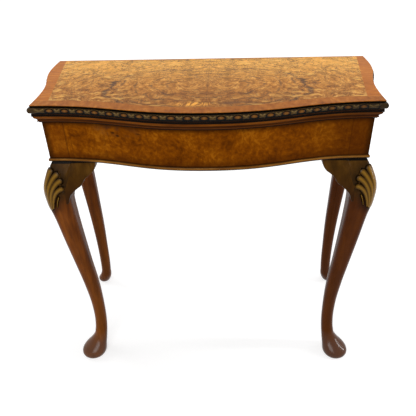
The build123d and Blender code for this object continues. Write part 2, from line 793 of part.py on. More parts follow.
# Knee blocks, glued under the rails and shaped to run into the knees
def knee_block(leg, rows, corner, signs, along):
    """A left knee block; along is 0 for one under the front rail and 1 for one under a side rail."""
    across = 1 - along
    section_plane = (Plane.YZ, Plane.XZ)[along]
    outline_plane = (Plane.XZ, Plane.YZ)[along]
    flip = (1, -1)[along]
    low_z = leg_height - ear_height - ear_lap
    inner = corner[along] - signs[along] * post_width
    far = inner - signs[along] * (ear_width - ear_root)
    root = inner + signs[along] * ear_root
    start = root + signs[along] * ear_lap
    back = corner[across] - signs[across] * ear_depth
    flat = corner[across] - signs[across] * ear_setback
    sections = []
    for place, bulge in ((start, 1), (far, 0)):
        with BuildSketch(section_plane.offset(flip * place)) as section:
            with BuildLine():
                face = []
                for share in ear_face_shares:
                    height = low_z + (leg_height - low_z) * share
                    row = leg_at(rows, height)
                    knee = row[across] + signs[across] * (row[3] / 2 - ear_setback)
                    face.append((flat + bulge * (knee - flat), height))
                Polyline(*face)
                Line(face[-1], (back, leg_height))
                Line((back, leg_height), (back, low_z))
                Line((back, low_z), face[0])
            make_face()
        sections.append(section.sketch)
    loft(sections=sections, ruled=True)
    with BuildSketch(outline_plane) as outline:
        with BuildLine():
            points = [(root - signs[along] * ear_width * u, leg_height - ear_height * v)
                      for u, v in ear_outline_shares]
            Polyline(*points)
            Line(points[-1], (start, low_z))
            Line((start, low_z), (start, leg_height))
            Line((start, leg_height), points[0])
        make_face()
    extrude(outline.sketch, amount=wide_x, both=True, mode=Mode.INTERSECT)
    post_centre = (corner[0] - signs[0] * post_width / 2, corner[1] - signs[1] * post_width / 2)
    split(bisect_by=Plane(post_centre, z_dir=(-signs[0], signs[1], 0)), keep=(Keep.TOP, Keep.BOTTOM)[along])
    add(leg.part, mode=Mode.SUBTRACT)


with BuildPart() as front_ear:
    knee_block(front_leg, front_rows, front_corner, (-1, -1), 0)
finish_pair(front_ear, "front_ear")

with BuildPart() as side_ear:
    knee_block(front_leg, front_rows, front_corner, (-1, -1), 1)
finish_pair(side_ear, "side_ear")

with BuildPart() as rear_ear:
    knee_block(rear_leg, rear_rows, rear_corner, (-1, 1), 1)
finish_pair(rear_ear, "rear_ear")
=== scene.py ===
import json
from math import cos, pi, radians, sin

import bmesh
import bpy
import numpy as np
from mathutils import Matrix, Vector

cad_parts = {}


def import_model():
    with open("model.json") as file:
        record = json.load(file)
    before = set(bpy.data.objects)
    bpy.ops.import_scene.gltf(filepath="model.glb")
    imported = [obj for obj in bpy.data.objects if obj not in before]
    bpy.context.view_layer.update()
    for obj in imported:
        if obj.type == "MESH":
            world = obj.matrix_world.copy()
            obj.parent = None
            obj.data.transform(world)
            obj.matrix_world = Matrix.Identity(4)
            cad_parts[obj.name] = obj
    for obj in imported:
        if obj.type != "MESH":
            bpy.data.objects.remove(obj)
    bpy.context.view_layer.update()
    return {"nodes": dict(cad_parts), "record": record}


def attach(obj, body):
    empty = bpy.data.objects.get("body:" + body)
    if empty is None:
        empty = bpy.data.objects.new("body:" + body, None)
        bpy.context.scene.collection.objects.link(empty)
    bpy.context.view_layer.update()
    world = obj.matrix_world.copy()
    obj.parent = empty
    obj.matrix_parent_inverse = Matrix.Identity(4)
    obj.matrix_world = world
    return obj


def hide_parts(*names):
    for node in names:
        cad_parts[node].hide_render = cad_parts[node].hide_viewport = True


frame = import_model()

# Looks of the closed folding card table. Metres, +Z up, front towards -Y, floor at z = 0.

# Camera, fitted to the outline of the top, the frieze and the feet. Pixels, metres and radians, and
# the sensor's width in millimetres.
IMAGE_SIZE = 416
SENSOR_WIDTH = 36
FOCAL_PIXELS = 450.3
AXIS_PIXEL = (214.0, 203.3)
CAMERA_PLACE = (0.0376, -1.0225, 1.0521)
CAMERA_YAW = -0.0300
CAMERA_PITCH = 0.5524
CAMERA_ROLL = -0.0243

# Lamps, each with its place, its width and height, and its power in watts
AIM = (0, 0, 0.5)
LAMPS = {
    "key": ((-0.4, -2.2, 2.2), (1.6, 1.6), 34),
    "fill": ((2.0, -0.1, 1.2), (0.11, 1.4), 15),
    "overhead": ((0.5, 0.6, 2.8), (1.8, 1.8), 27),
    "rear": ((-1.9, 0.7, 1.5), (1.0, 1.0), 14),
}
WORLD_SHARE = 0.28

# Floor: how pale it is to the table and to the camera, and the distances over which its glow grows to white
FLOOR_HALF = 12
FLOOR_LIT_SHARES = (0.8, 0.8, 0.8)
FLOOR_SEEN_SHARES = (0.46, 0.46, 0.46)
FLOOR_GLOW_REACH = (0.7, 1.8)
FLOOR_GLOW_SHARE = 0.68
WHITE_SHARES = (1, 1, 1)

# Plan of the top
BACK_HALF = 0.405
TIP_HALF = 0.359
BACK_Y = 0.206125
TIP_Y = -0.149875
FRONT_BULGE = 0.054
FRONT_CURVE_SHARE = 0.47
SIDE_CURVE_SHARE = 0.57
CURVE_POINTS = 200
MITRE_RUN = 0.02
SHARP_ANGLE = radians(40)

# Carved edge of the upper leaf: the band's section, with the round that is carved
EDGE_INSET = 0.012
BAND_RADIUS = 0.0082
BAND_CENTRE_OUT = 0.0088
BAND_CENTRE_Z = 0.7400
BAND_HALF_ANGLE = radians(70)
BAND_FOOT_OUT = 0.0112
BAND_FOOT_Z = 0.7306
BAND_TOP_Z = 0.749
BAND_ROWS = 34
CARVING_STEP = 0.0007
CARVING_DEPTH = 0.0021

# Its carving: eggs under arches, ribbons crossed on a bow between them, and a rim. A height is a share of
# the depth, and a run is the length over which a form grows to its height.
EGG_PITCH = 0.0322
EGG_START_SHARE = 0.550
EGG_HALF_LENGTH = 0.0078
EGG_HALF_HEIGHT = 0.0048
EGG_RISE = -0.0008
EGG_HEIGHT_SHARE = 0.98
# Tilt raises each egg's top; through its relief it also colours the top lighter, painted highlight, and the
# foot darker, painted shade
EGG_TILT_SHARE = 0.14
EGG_TINT_SHARE = 1.12
EGG_TINT_RUN_SHARE = 0.1
ARCH_REACH_SHARE = 1.38
ARCH_WIDTH_SHARE = 0.13
ARCH_HEIGHT_SHARE = 0.85
ARCH_RUN = 0.002
RIM_PLACE = 0.0066
RIM_WIDTH = 0.0011
RIM_HEIGHT_SHARE = 0.62
BOW_HALF_LENGTH = 0.0066
BOW_HALF_HEIGHT = 0.0064
BOW_WAIST_SHARE = 0.84
BOW_SIDE_RUN = 0.0014
BOW_END_RUN = 0.0010
BOW_HEIGHT_SHARE = 0.56
RIBBON_SLOPE = 0.8
RIBBON_HALF_WIDTH = 0.0014
RIBBON_HEIGHT_SHARE = 0.40
RIBBON_UPPER_SHARE = 0.38
RIBBON_RUN = 0.003
CORNER_RUN = 0.010
CORNER_HEIGHT_SHARE = 0.95
CORNER_DULL_SHARE = 0.5
# The band is cut back and coloured near-black at its foot and top: painted shade under its round and in its
# quirk
BAND_DARK_FOOT = 0.0074
BAND_DARK_FOOT_RUN = 0.0012
BAND_DARK_TOP = 0.0080
BAND_DARK_TOP_RUN = 0.0010

# Edge of the lower leaf: a fillet over an ogee and a small bead. Each row is a place outwards from the
# board and a height over its foot.
LOWER_Z = 0.7103
LOWER_SECTION = [
    (0.0, 0.0187), (0.0118, 0.0187), (0.0120, 0.0184), (0.0120, 0.0160), (0.0116, 0.0156),
    (0.0104, 0.0154), (0.0103, 0.0140), (0.0099, 0.0125), (0.0091, 0.0111), (0.0079, 0.0099),
    (0.0066, 0.0089), (0.0055, 0.0078), (0.0048, 0.0066), (0.0045, 0.0054), (0.0046, 0.0048),
    (0.0052, 0.0044), (0.0056, 0.0036), (0.0054, 0.0027), (0.0047, 0.0021), (0.0036, 0.0018),
    (0.0028, 0.0014), (0.0026, 0.0)]
MOULDING_STEP = 0.004

# Frame
LEG_HEIGHT = 0.616
RAIL_TOP = 0.709
POST_WIDTH = 0.045
POST_CORNER_RADIUS = 0.003
CORE_SIDE_INSET = 0.013
CORE_FRONT_INSET = 0.020
FRAME_BACK_Y = 0.198125
COCKBEAD_HEIGHT = 0.008
COCKBEAD_NECK = 0.0022
COCKBEAD_OUT = 0.005
COCKBEAD_STEPS = 12

# Legs: the same sections as the solids. Each row gives a height as a share of the leg's, how far the centre
# stands out as a share of the kick, a width as a share of the knee's, the corner radius as a share of
# that width, and how far the centre has moved from the ankle's axis to the post's.
FRONT_LEG = {
    "corner": (CORE_SIDE_INSET - TIP_HALF, TIP_Y + CORE_FRONT_INSET), "signs": (-1, -1),
    "knee_width": 0.056, "kick": 0.024, "ankle": (0.004, 0.004),
    "section_shares": [
        (0.000, 0.82, 1.067, 0.490, 0), (0.008, 0.82, 1.180, 0.495, 0), (0.022, 0.79, 1.221, 0.495, 0),
        (0.040, 0.61, 1.091, 0.495, 0), (0.060, 0.28, 0.844, 0.490, 0), (0.084, 0.00, 0.654, 0.490, 0),
        (0.115, -0.15, 0.594, 0.490, 0), (0.160, -0.26, 0.572, 0.490, 0), (0.260, -0.31, 0.584, 0.480, 0),
        (0.390, -0.17, 0.664, 0.440, 0), (0.520, 0.11, 0.726, 0.400, 0), (0.650, 0.38, 0.811, 0.360, 0),
        (0.763, 0.59, 0.883, 0.320, 0), (0.845, 0.73, 0.991, 0.300, 0), (0.905, 0.67, 1.031, 0.280, 0.1),
        (0.960, 0.31, 0.976, 0.220, 0.5)],
}
REAR_LEG = {
    "corner": (CORE_SIDE_INSET - BACK_HALF, FRAME_BACK_Y), "signs": (-1, 1),
    "knee_width": 0.050, "kick": 0.017, "ankle": (0.0033, -0.0084),
    "section_shares": [
        (0.000, 0.99, 0.620, 0.490, 0), (0.008, 0.96, 0.740, 0.495, 0), (0.022, 0.81, 0.810, 0.495, 0),
        (0.040, 0.52, 0.765, 0.495, 0), (0.060, 0.25, 0.694, 0.490, 0), (0.084, 0.05, 0.614, 0.490, 0),
        (0.115, -0.08, 0.603, 0.490, 0), (0.160, -0.18, 0.611, 0.490, 0), (0.260, -0.25, 0.635, 0.480, 0),
        (0.390, -0.20, 0.701, 0.440, 0), (0.520, 0.05, 0.771, 0.400, 0), (0.650, 0.39, 0.859, 0.360, 0),
        (0.763, 0.69, 0.916, 0.320, 0), (0.845, 0.88, 0.973, 0.290, 0), (0.905, 0.86, 1.000, 0.260, 0.15),
        (0.960, 0.49, 0.958, 0.220, 0.6)],
}

# Meshes of the legs: steps up a leg, points round it, and the turn of the left knee's outer corner
COARSE_STEP = 0.004
FINE_STEP = 0.001
PLAIN_POINTS = 108
INNER_POINTS = 36
OUTER_POINTS = 168
OUTER_HALF_TURN = radians(105)
KNEE_DEGREES = 225

# Shells on the front knees. Each lobe's line is a curve from its root to its tip, by angles round from the
# knee's outer corner in degrees and heights as shares of the leg. Then come its half widths and its height.
SHELL_LOBES = [
    ((2, 0.812), (2, 0.925), (8, 0.967), 0.0018, 0.0078, 0.0020),
    ((8, 0.814), (12, 0.936), (38, 0.955), 0.0018, 0.0080, 0.0026),
    ((14, 0.817), (24, 0.918), (60, 0.934), 0.0018, 0.0078, 0.0026),
    ((21, 0.822), (34, 0.892), (71, 0.906), 0.0018, 0.0072, 0.0024),
    ((40, 0.828), (44, 0.846), (58, 0.872), 0.0008, 0.0019, 0.0012),
]
SHELL_FOOT = 0.488
LOBE_STATIONS = 48
LOBE_ROOT_SHARE = 0.35
GROOVE_DEPTH = 0.0018
GROOVE_WIDTH = 0.0012
GROOVE_TOP_SHARE = 0.3
# Dark outline round the lobes: patina with painted shade
PATINA_AND_SHADE_WIDTH = 0.0020
PATINA_AND_SHADE_TOP_SHARE = 0.25
# A broad painted shade round the shell
SHADE_WIDTH = 0.012
SHADE_SHARE = 0.62
# The power narrows the shell's lighter ridge colour: rubbed wear with painted highlight
RIDGE_POWER = 1.2

# Knee blocks. Each row gives a distance along the rail and a drop below it, as shares of the block.
EAR_WIDTH = 0.072
EAR_HEIGHT = 0.100
EAR_DEPTH = 0.026
EAR_ROOT = 0.020
EAR_LAP = 0.012
EAR_SETBACK = 0.0008
EAR_OUTLINE_SHARES = [(0.0, 1.0), (0.07, 0.84), (0.185, 0.73), (0.32, 0.65), (0.45, 0.59),
                      (0.57, 0.46), (0.70, 0.38), (0.83, 0.31), (0.93, 0.19), (1.0, 0.0)]
EAR_LEAST_DROP = 0.001
EAR_ROUND = 0.003
EAR_ROUND_STEPS = 3
EAR_COLUMNS = 40
EAR_ROWS = 18

# Places in the materials. A pair is where a shade starts and where it ends. A drift is a noise's scale and
# how far it pushes along each axis. A line or ring is its place, half its width and its share. A spot is
# its centre, its radii and its share.
BURR_DRIFTS = [(6.5, (0.10, 0.08, 0)), (34.0, (0.020, 0.016, 0))]
# Painted light towards the back of the top, and painted shade towards its front
BURR_PAINTED_LIGHT_Y = (-0.06, 0.19)
BURR_PAINTED_SHADE_Y = (-0.20, 0.02)
BURR_THREAD_Y = (-0.05, 0.15)
RING_CENTRE_Y = -0.03
RING_STRETCH_SHARE = 1.45
RINGS = [(0.222, 0.011, 1.0), (0.204, 0.006, 0.7), (0.168, 0.005, 0.7), (0.128, 0.007, 0.8),
         (0.086, 0.006, 0.7)]
FLECK_RADII = (0.12, 0.26)
KNOT_SPOTS = [((0.006, 0.018), (0.026, 0.022), 0.6), ((0.0, -0.035), (0.009, 0.06), 0.5)]
GOLD_SPOT = ((-0.026, -0.154), (0.060, 0.018), 0.85)
BROWN_SPOT = ((0.060, -0.150), (0.070, 0.014), 0.7)
SEAM_LINE = (0.0, 0.0012, 0.5)

FRIEZE_DRIFTS = [(8.0, (0.05, 0.05, 0.05)), (40.0, (0.012, 0.012, 0.012))]
FRIEZE_MARKS = [((-0.196, 0.690), (0.007, 0.004), 0.8), ((-0.186, 0.684), (0.006, 0.004), 0.8),
                ((-0.140, 0.6925), (0.008, 0.003), 0.6)]
FRIEZE_SMEAR = ((-0.19, 0.696), (0.070, 0.018), 0.8)
FRIEZE_FRONT_Y = (-0.1305, -0.127)
FRIEZE_BAND_X = (0.302, 0.306)
FRIEZE_BAND_LINES = [(0.304, 0.0022, 0.6), (0.293, 0.0016, 0.3)]
# Painted shade at the front's corners, where the frieze turns
FRIEZE_END_SHADE_X = (0.332, 0.345)
# Painted shade towards the frieze's right end
FRIEZE_RIGHT_SHADE_X = (0.15, 0.345)
FRIEZE_FOOT_Z = (0.628, 0.652)
FRIEZE_FOOT_WAVE = 0.006
FRIEZE_FOOT_LINE = (0.6252, 0.0016, 0.8)
# Painted shadow along the frieze's top, under the mouldings
FRIEZE_TOP_SHADOW_Z = (0.694, 0.709)

GRAIN_DRIFTS = [(9.0, (0.012, 0.012, 0.012))]
LEG_FRONT_Y = (0.0, 0.1)
# Painted shade on the right-hand legs
LEG_RIGHT_SHADE_X = (0.0, 0.3)
LEG_LOW_Z = (0.05, 0.45)
LEG_PAD_Z = (0.030, 0.075)
LEG_KNEE_Z = (0.515, 0.570)
LEG_KNEE_WAVE = 0.03
# Painted shadow right under the cockbead
UNDER_BEAD_SHADOW_Z = (0.6090, 0.6110)
EAR_DRIFTS = [(12.0, (0.02, 0.02, 0.02))]
EAR_LOW_Z = (0.525, 0.595)

# Painted shade towards the right on the carved edge
CARVED_RIGHT_SHADE_X = (0.12, 0.34)
# Painted shade towards the right on the lower edge
LOWER_RIGHT_SHADE_X = (0.10, 0.34)
# Painted shade in the hollow of the lower edge
LOWER_HOLLOW_SHADE_Z = (0.7186, 0.7212)
LOWER_HOLLOW_WAVE = 0.001
# Painted highlight on the lower edge's bead
LOWER_BEAD_HIGHLIGHT = (0.7144, 0.0012, 0.6)
# Painted shadow along the lower edge's top, under the carved edge
LOWER_TOP_SHADOW_Z = (0.7256, 0.7264)
# Painted shade at the lower edge's foot, over the frieze
LOWER_FOOT_SHADE_Z = (0.7122, 0.7132)
# Painted shade along the cockbead's underside
COCKBEAD_FOOT_SHADE_Z = (0.6180, 0.6200)
# Painted shade next to the quirk above the cockbead
COCKBEAD_QUIRK_SHADE_Z = (0.6222, 0.6234)

VENEER_BUMP = 0.00004
PORE_BUMP = 0.00005
MOULDING_BUMP = 0.00006
CARVED_BUMP = 0.00008
NAP_BUMP = 0.0003
SCRATCH_BUMP = 0.00002


# Materials
def srgb(color):
    """A colour of 0 to 255 as the shader wants it."""
    values = [channel / 255 for channel in color]
    return tuple(v / 12.92 if v <= 0.04045 else ((v + 0.055) / 1.055) ** 2.4 for v in values)


class Graph:
    """The node tree of a material or a world, with short ways to add and join nodes."""

    def __init__(self, owner):
        self.owner = owner
        self.owner.use_nodes = True
        self.tree = self.owner.node_tree
        self.tree.nodes.clear()
        self.color = None

    def put(self, socket, value):
        """Joins a socket to another, or sets its value."""
        if isinstance(value, bpy.types.NodeSocket):
            self.tree.links.new(value, socket)
        elif socket.type == "RGBA":
            socket.default_value = (*value, 1)
        else:
            socket.default_value = value

    def node(self, kind, settings=(), inputs=()):
        """Adds a node with its settings and inputs."""
        made = self.tree.nodes.new("ShaderNode" + kind)
        for key, value in dict(settings).items():
            setattr(made, key, value)
        for key, value in dict(inputs).items():
            self.put(made.inputs[key], value)
        return made

    def place(self):
        """Place on the piece, in metres."""
        return self.node("TexCoord").outputs["Object"]

    def layer(self, name):
        """A number kept at each point of the mesh, nought where the mesh has none."""
        return self.node("Attribute", {"attribute_name": name}).outputs["Fac"]

    def seen(self):
        """1 for what the camera sees, also by a reflection, and nought for the rest."""
        ray = self.node("LightPath").outputs
        return self.math("MAXIMUM", ray["Is Camera Ray"], ray["Is Glossy Ray"])

    def math(self, operation, a, b=0.0):
        """A number worked out from one or two others."""
        return self.node("Math", {"operation": operation}, {0: a, 1: b}).outputs[0]

    def times(self, first, *others):
        """Numbers multiplied."""
        for other in others:
            first = self.math("MULTIPLY", first, other)
        return first

    def plus(self, first, *others):
        """Numbers added."""
        for other in others:
            first = self.math("ADD", first, other)
        return first

    def shared(self, *rows):
        """Numbers added up, each by its share."""
        return self.plus(*(self.times(value, share) for value, share in rows))

    def length(self, a, b):
        """Distance from nought by two coordinates."""
        return self.math("SQRT", self.plus(self.times(a, a), self.times(b, b)))

    def vector(self, operation, a, b):
        """A vector worked out from two others."""
        return self.node("VectorMath", {"operation": operation}, {0: a, 1: b}).outputs[0]

    def split(self, vector):
        """The X, Y and Z of a vector."""
        return self.node("SeparateXYZ", inputs={0: vector}).outputs

    def joined(self, x, y, z):
        """A vector from its X, Y and Z."""
        return self.node("CombineXYZ", inputs={0: x, 1: y, 2: z}).outputs[0]

    def noise(self, vector, scale, detail=3.0, roughness=0.5, stretch=None, output="Fac"):
        """Soft noise of 0 to 1; stretch is how much denser it is along each axis."""
        if stretch:
            vector = self.node("Mapping", inputs={"Vector": vector, "Scale": stretch}).outputs[0]
        return self.node("TexNoise", inputs={"Vector": vector, "Scale": scale, "Detail": detail,
                                             "Roughness": roughness}).outputs[output]

    def drift(self, vector, rows, detail=3.0):
        """A vector pushed about by noises, by up to half of what each row says along each axis."""
        for scale, amount in rows:
            cloud = self.noise(vector, scale, detail, output="Color")
            push = self.vector("SUBTRACT", cloud, (0.5, 0.5, 0.5))
            vector = self.vector("ADD", vector, self.vector("MULTIPLY", push, amount))
        return vector

    def cells(self, vector, scale):
        """Distance to the nearest of scattered points."""
        return self.node("TexVoronoi", inputs={"Vector": vector, "Scale": scale}).outputs["Distance"]

    def span(self, value, low, high, to_low=0.0, to_high=1.0):
        """A number carried smoothly from one range to another."""
        return self.node("MapRange", {"interpolation_type": "SMOOTHSTEP"},
                         {"Value": value, "From Min": low, "From Max": high,
                          "To Min": to_low, "To Max": to_high}).outputs[0]

    def near(self, value, middle, half, share=1.0):
        """A share at a value, falling to nought on both sides of it."""
        away = self.math("ABSOLUTE", self.math("SUBTRACT", value, middle))
        return self.span(away, 0.0, half, share, 0.0)

    def spot(self, a, b, centre, radii, share):
        """A soft oval spot in two coordinates."""
        across = self.math("DIVIDE", self.math("SUBTRACT", a, centre[0]), radii[0])
        down = self.math("DIVIDE", self.math("SUBTRACT", b, centre[1]), radii[1])
        return self.span(self.length(across, down), 0.2, 1.0, share, 0.0)

    def ramp(self, value, stops):
        """A colour picked along a row of (place, colour)."""
        made = self.node("ValToRGB", inputs={0: value})
        elements = made.color_ramp.elements
        for i, (place, color) in enumerate(stops):
            element = elements[i] if i < 2 else elements.new(place)
            element.position = place
            element.color = (*srgb(color), 1)
        return made.outputs[0]

    def stain(self, share, other):
        """Mixes a share of another colour, made here or given as three numbers, into the colour so far."""
        if isinstance(other, tuple):
            other = srgb(other)
        self.color = self.node("Mix", {"data_type": "RGBA"}, {0: share, 6: self.color, 7: other}).outputs[2]

    def surface(self, roughness, height, depth, specular, metallic=0.0, sheen=0.0):
        """Ends the material in one shader with the colour so far and a height that roughens it."""
        normal = self.node("Bump", inputs={"Height": height, "Distance": depth, "Strength": 1.0}).outputs[0]
        inputs = {"Base Color": self.color, "Roughness": roughness, "Normal": normal,
                  "Specular IOR Level": specular, "Metallic": metallic, "Sheen Weight": sheen}
        shader = self.node("BsdfPrincipled", inputs=inputs)
        self.node("OutputMaterial", inputs={"Surface": shader.outputs[0]})
        return self.owner


def new_material(name):
    """The graph of a new material."""
    return Graph(bpy.data.materials.new(name))


def burr_walnut():
    """Book-matched burr veneer, mirrored in the seam at x = 0, with rings round a place on the seam;
    painted light towards the back and painted shade towards the front.
    """
    graph = new_material("burr_walnut")
    x, y, z = graph.split(graph.place())
    place = graph.joined(graph.math("ABSOLUTE", x), y, z)
    warped = graph.drift(place, BURR_DRIFTS)
    across, back, _ = graph.split(warped)
    up = graph.times(graph.plus(back, -RING_CENTRE_Y), RING_STRETCH_SHARE)
    ring = graph.length(across, up)
    turn = graph.math("ARCTAN2", up, across)
    along = graph.joined(graph.times(ring, 4.0), graph.times(turn, 0.22), 0.0)
    swirl = graph.noise(along, 16.0, 5.0, 0.62)
    cloud = graph.noise(warped, 44.0, 5.0, 0.68, (1, 0.6, 1))
    grit = graph.noise(warped, 150.0, 3.0, 0.6, (1, 0.45, 1))
    tone = graph.shared((swirl, 0.28), (cloud, 0.30), (grit, 0.42))
    graph.color = graph.ramp(tone, [(0.39, (114, 66, 20)), (0.46, (158, 99, 34)), (0.51, (182, 118, 42)),
                                    (0.56, (203, 138, 53)), (0.63, (236, 174, 80))])
    # Painted light towards the back of the top, then painted shade towards its front
    graph.stain(graph.span(y, *BURR_PAINTED_LIGHT_Y, 0.0, 0.62), (248, 182, 82))
    graph.stain(graph.span(y, *BURR_PAINTED_SHADE_Y, 0.58, 0.0), (124, 74, 30))

    thread_width = graph.span(y, *BURR_THREAD_Y, 0.016, 0.032)
    veins = graph.near(graph.noise(along, 17.0, 6.0, 0.70), 0.5, thread_width)
    patches = graph.span(graph.noise(place, 12.0), 0.36, 0.56)
    graph.stain(graph.times(veins, patches, 0.90), (56, 36, 20))
    threads = graph.near(graph.noise(warped, 54.0, 5.0, 0.74, (1.1, 0.6, 1)), 0.5, thread_width)
    patches = graph.span(graph.noise(place, 16.0), 0.34, 0.50)
    graph.stain(graph.times(threads, patches, 0.90), (64, 42, 24))
    rings = graph.plus(*(graph.near(ring, *row) for row in RINGS))
    streaks = graph.span(graph.noise(along, 30.0, 4.0, 0.6), 0.42, 0.52)
    graph.stain(graph.times(rings, streaks, 0.90), (70, 46, 30))

    eyes = graph.span(graph.cells(warped, 85.0), 0.10, 0.30, 1.0, 0.0)
    patches = graph.span(graph.noise(place, 19.0, 2.0), 0.48, 0.60)
    graph.stain(graph.times(eyes, patches, 0.65), (70, 44, 24))
    flecks = graph.span(graph.noise(warped, 70.0, 2.0, stretch=(0.6, 1.5, 1)), 0.57, 0.66)
    outside = graph.span(ring, *FLECK_RADII, 0.25, 1.0)
    graph.stain(graph.times(flecks, outside, 0.55), (238, 182, 92))
    knot = graph.plus(*(graph.spot(across, y, *row) for row in KNOT_SPOTS))
    graph.stain(graph.times(knot, graph.span(cloud, 0.42, 0.58, 1.0, 0.45)), (74, 48, 30))
    gold = graph.times(graph.spot(x, y, *GOLD_SPOT), graph.span(grit, 0.38, 0.55))
    graph.stain(gold, (240, 168, 66))
    brown = graph.times(graph.spot(x, y, *BROWN_SPOT), graph.span(swirl, 0.42, 0.55))
    graph.stain(brown, (80, 52, 32))
    graph.stain(graph.near(x, *SEAM_LINE), (80, 48, 24))
    height = graph.plus(graph.times(tone, 0.4), graph.noise(place, 900.0, 2.0))
    return graph.surface(graph.span(tone, 0.4, 0.7, 0.42, 0.32), height, VENEER_BUMP, 0.04)


def grain(graph, along, scale, broad_share):
    """Tone of straight grain, the broad clouds in it, and its pores; along is its stretch on each axis."""
    place = graph.place()
    bent = graph.drift(place, GRAIN_DRIFTS, 2.0)
    streaks = graph.noise(bent, scale, 5.0, 0.6, along)
    clouds = graph.noise(place, 14.0, 2.0)
    tone = graph.shared((streaks, 1 - broad_share), (clouds, broad_share))
    return tone, clouds, graph.noise(bent, 2600.0, 2.0, stretch=along)


def straight_walnut(name, stops, along, scale, roughness, specular, broad_share=0.25, edge=None):
    """Straight-grained wood; along is small in the grain's direction, and edge is the colour of painted shade
    on its upright edges, where one is given."""
    graph = new_material(name)
    tone, _, pores = grain(graph, along, scale, broad_share)
    graph.color = graph.ramp(tone, stops)
    graph.stain(graph.span(pores, 0.30, 0.42, 0.28, 0.0), stops[0][1])
    if edge:
        # Painted shade on the upright edges
        facing = graph.split(graph.node("NewGeometry").outputs["Normal"])[2]
        graph.stain(graph.span(graph.math("ABSOLUTE", facing), 0.4, 0.7, 1.0, 0.0), edge)
    return graph.surface(roughness, pores, PORE_BUMP, specular)


def frieze_walnut():
    """Figured veneer of the frieze, between straight bands at its ends, darker along its foot, with a painted
    shadow along its top and painted shade towards the right and at its front corners.
    """
    graph = new_material("frieze_walnut")
    place = graph.place()
    x, y, z = graph.split(place)
    warped = graph.drift(place, FRIEZE_DRIFTS)
    figure = graph.shared((graph.noise(warped, 16.0, 4.0, 0.6), 0.5),
                          (graph.noise(warped, 120.0, 4.0, 0.65), 0.5))
    graph.color = graph.ramp(figure, [(0.36, (92, 44, 0)), (0.45, (120, 60, 0)), (0.53, (138, 73, 1)),
                                      (0.62, (164, 94, 10))])
    mottle = graph.span(graph.noise(warped, 130.0, stretch=(1, 1, 0.6)), 0.50, 0.66)
    graph.stain(graph.times(mottle, 0.35), (94, 44, 0))
    streaks = graph.noise(warped, 130.0, stretch=(1, 1, 0.10))
    graph.stain(graph.span(streaks, 0.56, 0.72, 0.0, 0.30), (98, 46, 0))
    smear = graph.times(graph.spot(x, z, *FRIEZE_SMEAR), graph.span(graph.noise(warped, 60.0), 0.38, 0.56))
    graph.stain(smear, (80, 48, 28))
    marks = graph.plus(*(graph.spot(x, z, *row) for row in FRIEZE_MARKS))
    graph.stain(marks, (24, 12, 4))

    wide = graph.math("ABSOLUTE", x)
    front = graph.span(y, *FRIEZE_FRONT_Y, 1.0, 0.0)
    graph.stain(graph.times(graph.span(wide, *FRIEZE_BAND_X), front, 0.30), (104, 48, 6))
    lines = graph.plus(*(graph.near(wide, *row) for row in FRIEZE_BAND_LINES))
    graph.stain(lines, (70, 32, 4))
    ragged = graph.plus(z, graph.times(figure, FRIEZE_FOOT_WAVE))
    graph.stain(graph.span(ragged, *FRIEZE_FOOT_Z, 0.70, 0.0), (70, 30, 0))
    graph.stain(graph.near(z, *FRIEZE_FOOT_LINE), (30, 12, 0))
    # Painted shadow along the top, under the mouldings
    graph.stain(graph.span(z, *FRIEZE_TOP_SHADOW_Z, 0.0, 0.70), (40, 16, 0))
    # Painted shade towards the right end of the front
    graph.stain(graph.times(graph.span(x, *FRIEZE_RIGHT_SHADE_X, 0.0, 0.60), front), (78, 36, 0))
    # Painted shade at the front's corners
    graph.stain(graph.times(graph.span(wide, *FRIEZE_END_SHADE_X, 0.0, 0.70), front), (34, 14, 0))
    height = graph.plus(graph.times(figure, 0.3), graph.noise(place, 900.0, 2.0, stretch=(1, 1, 0.3)))
    return graph.surface(0.38, height, VENEER_BUMP, 0.02)


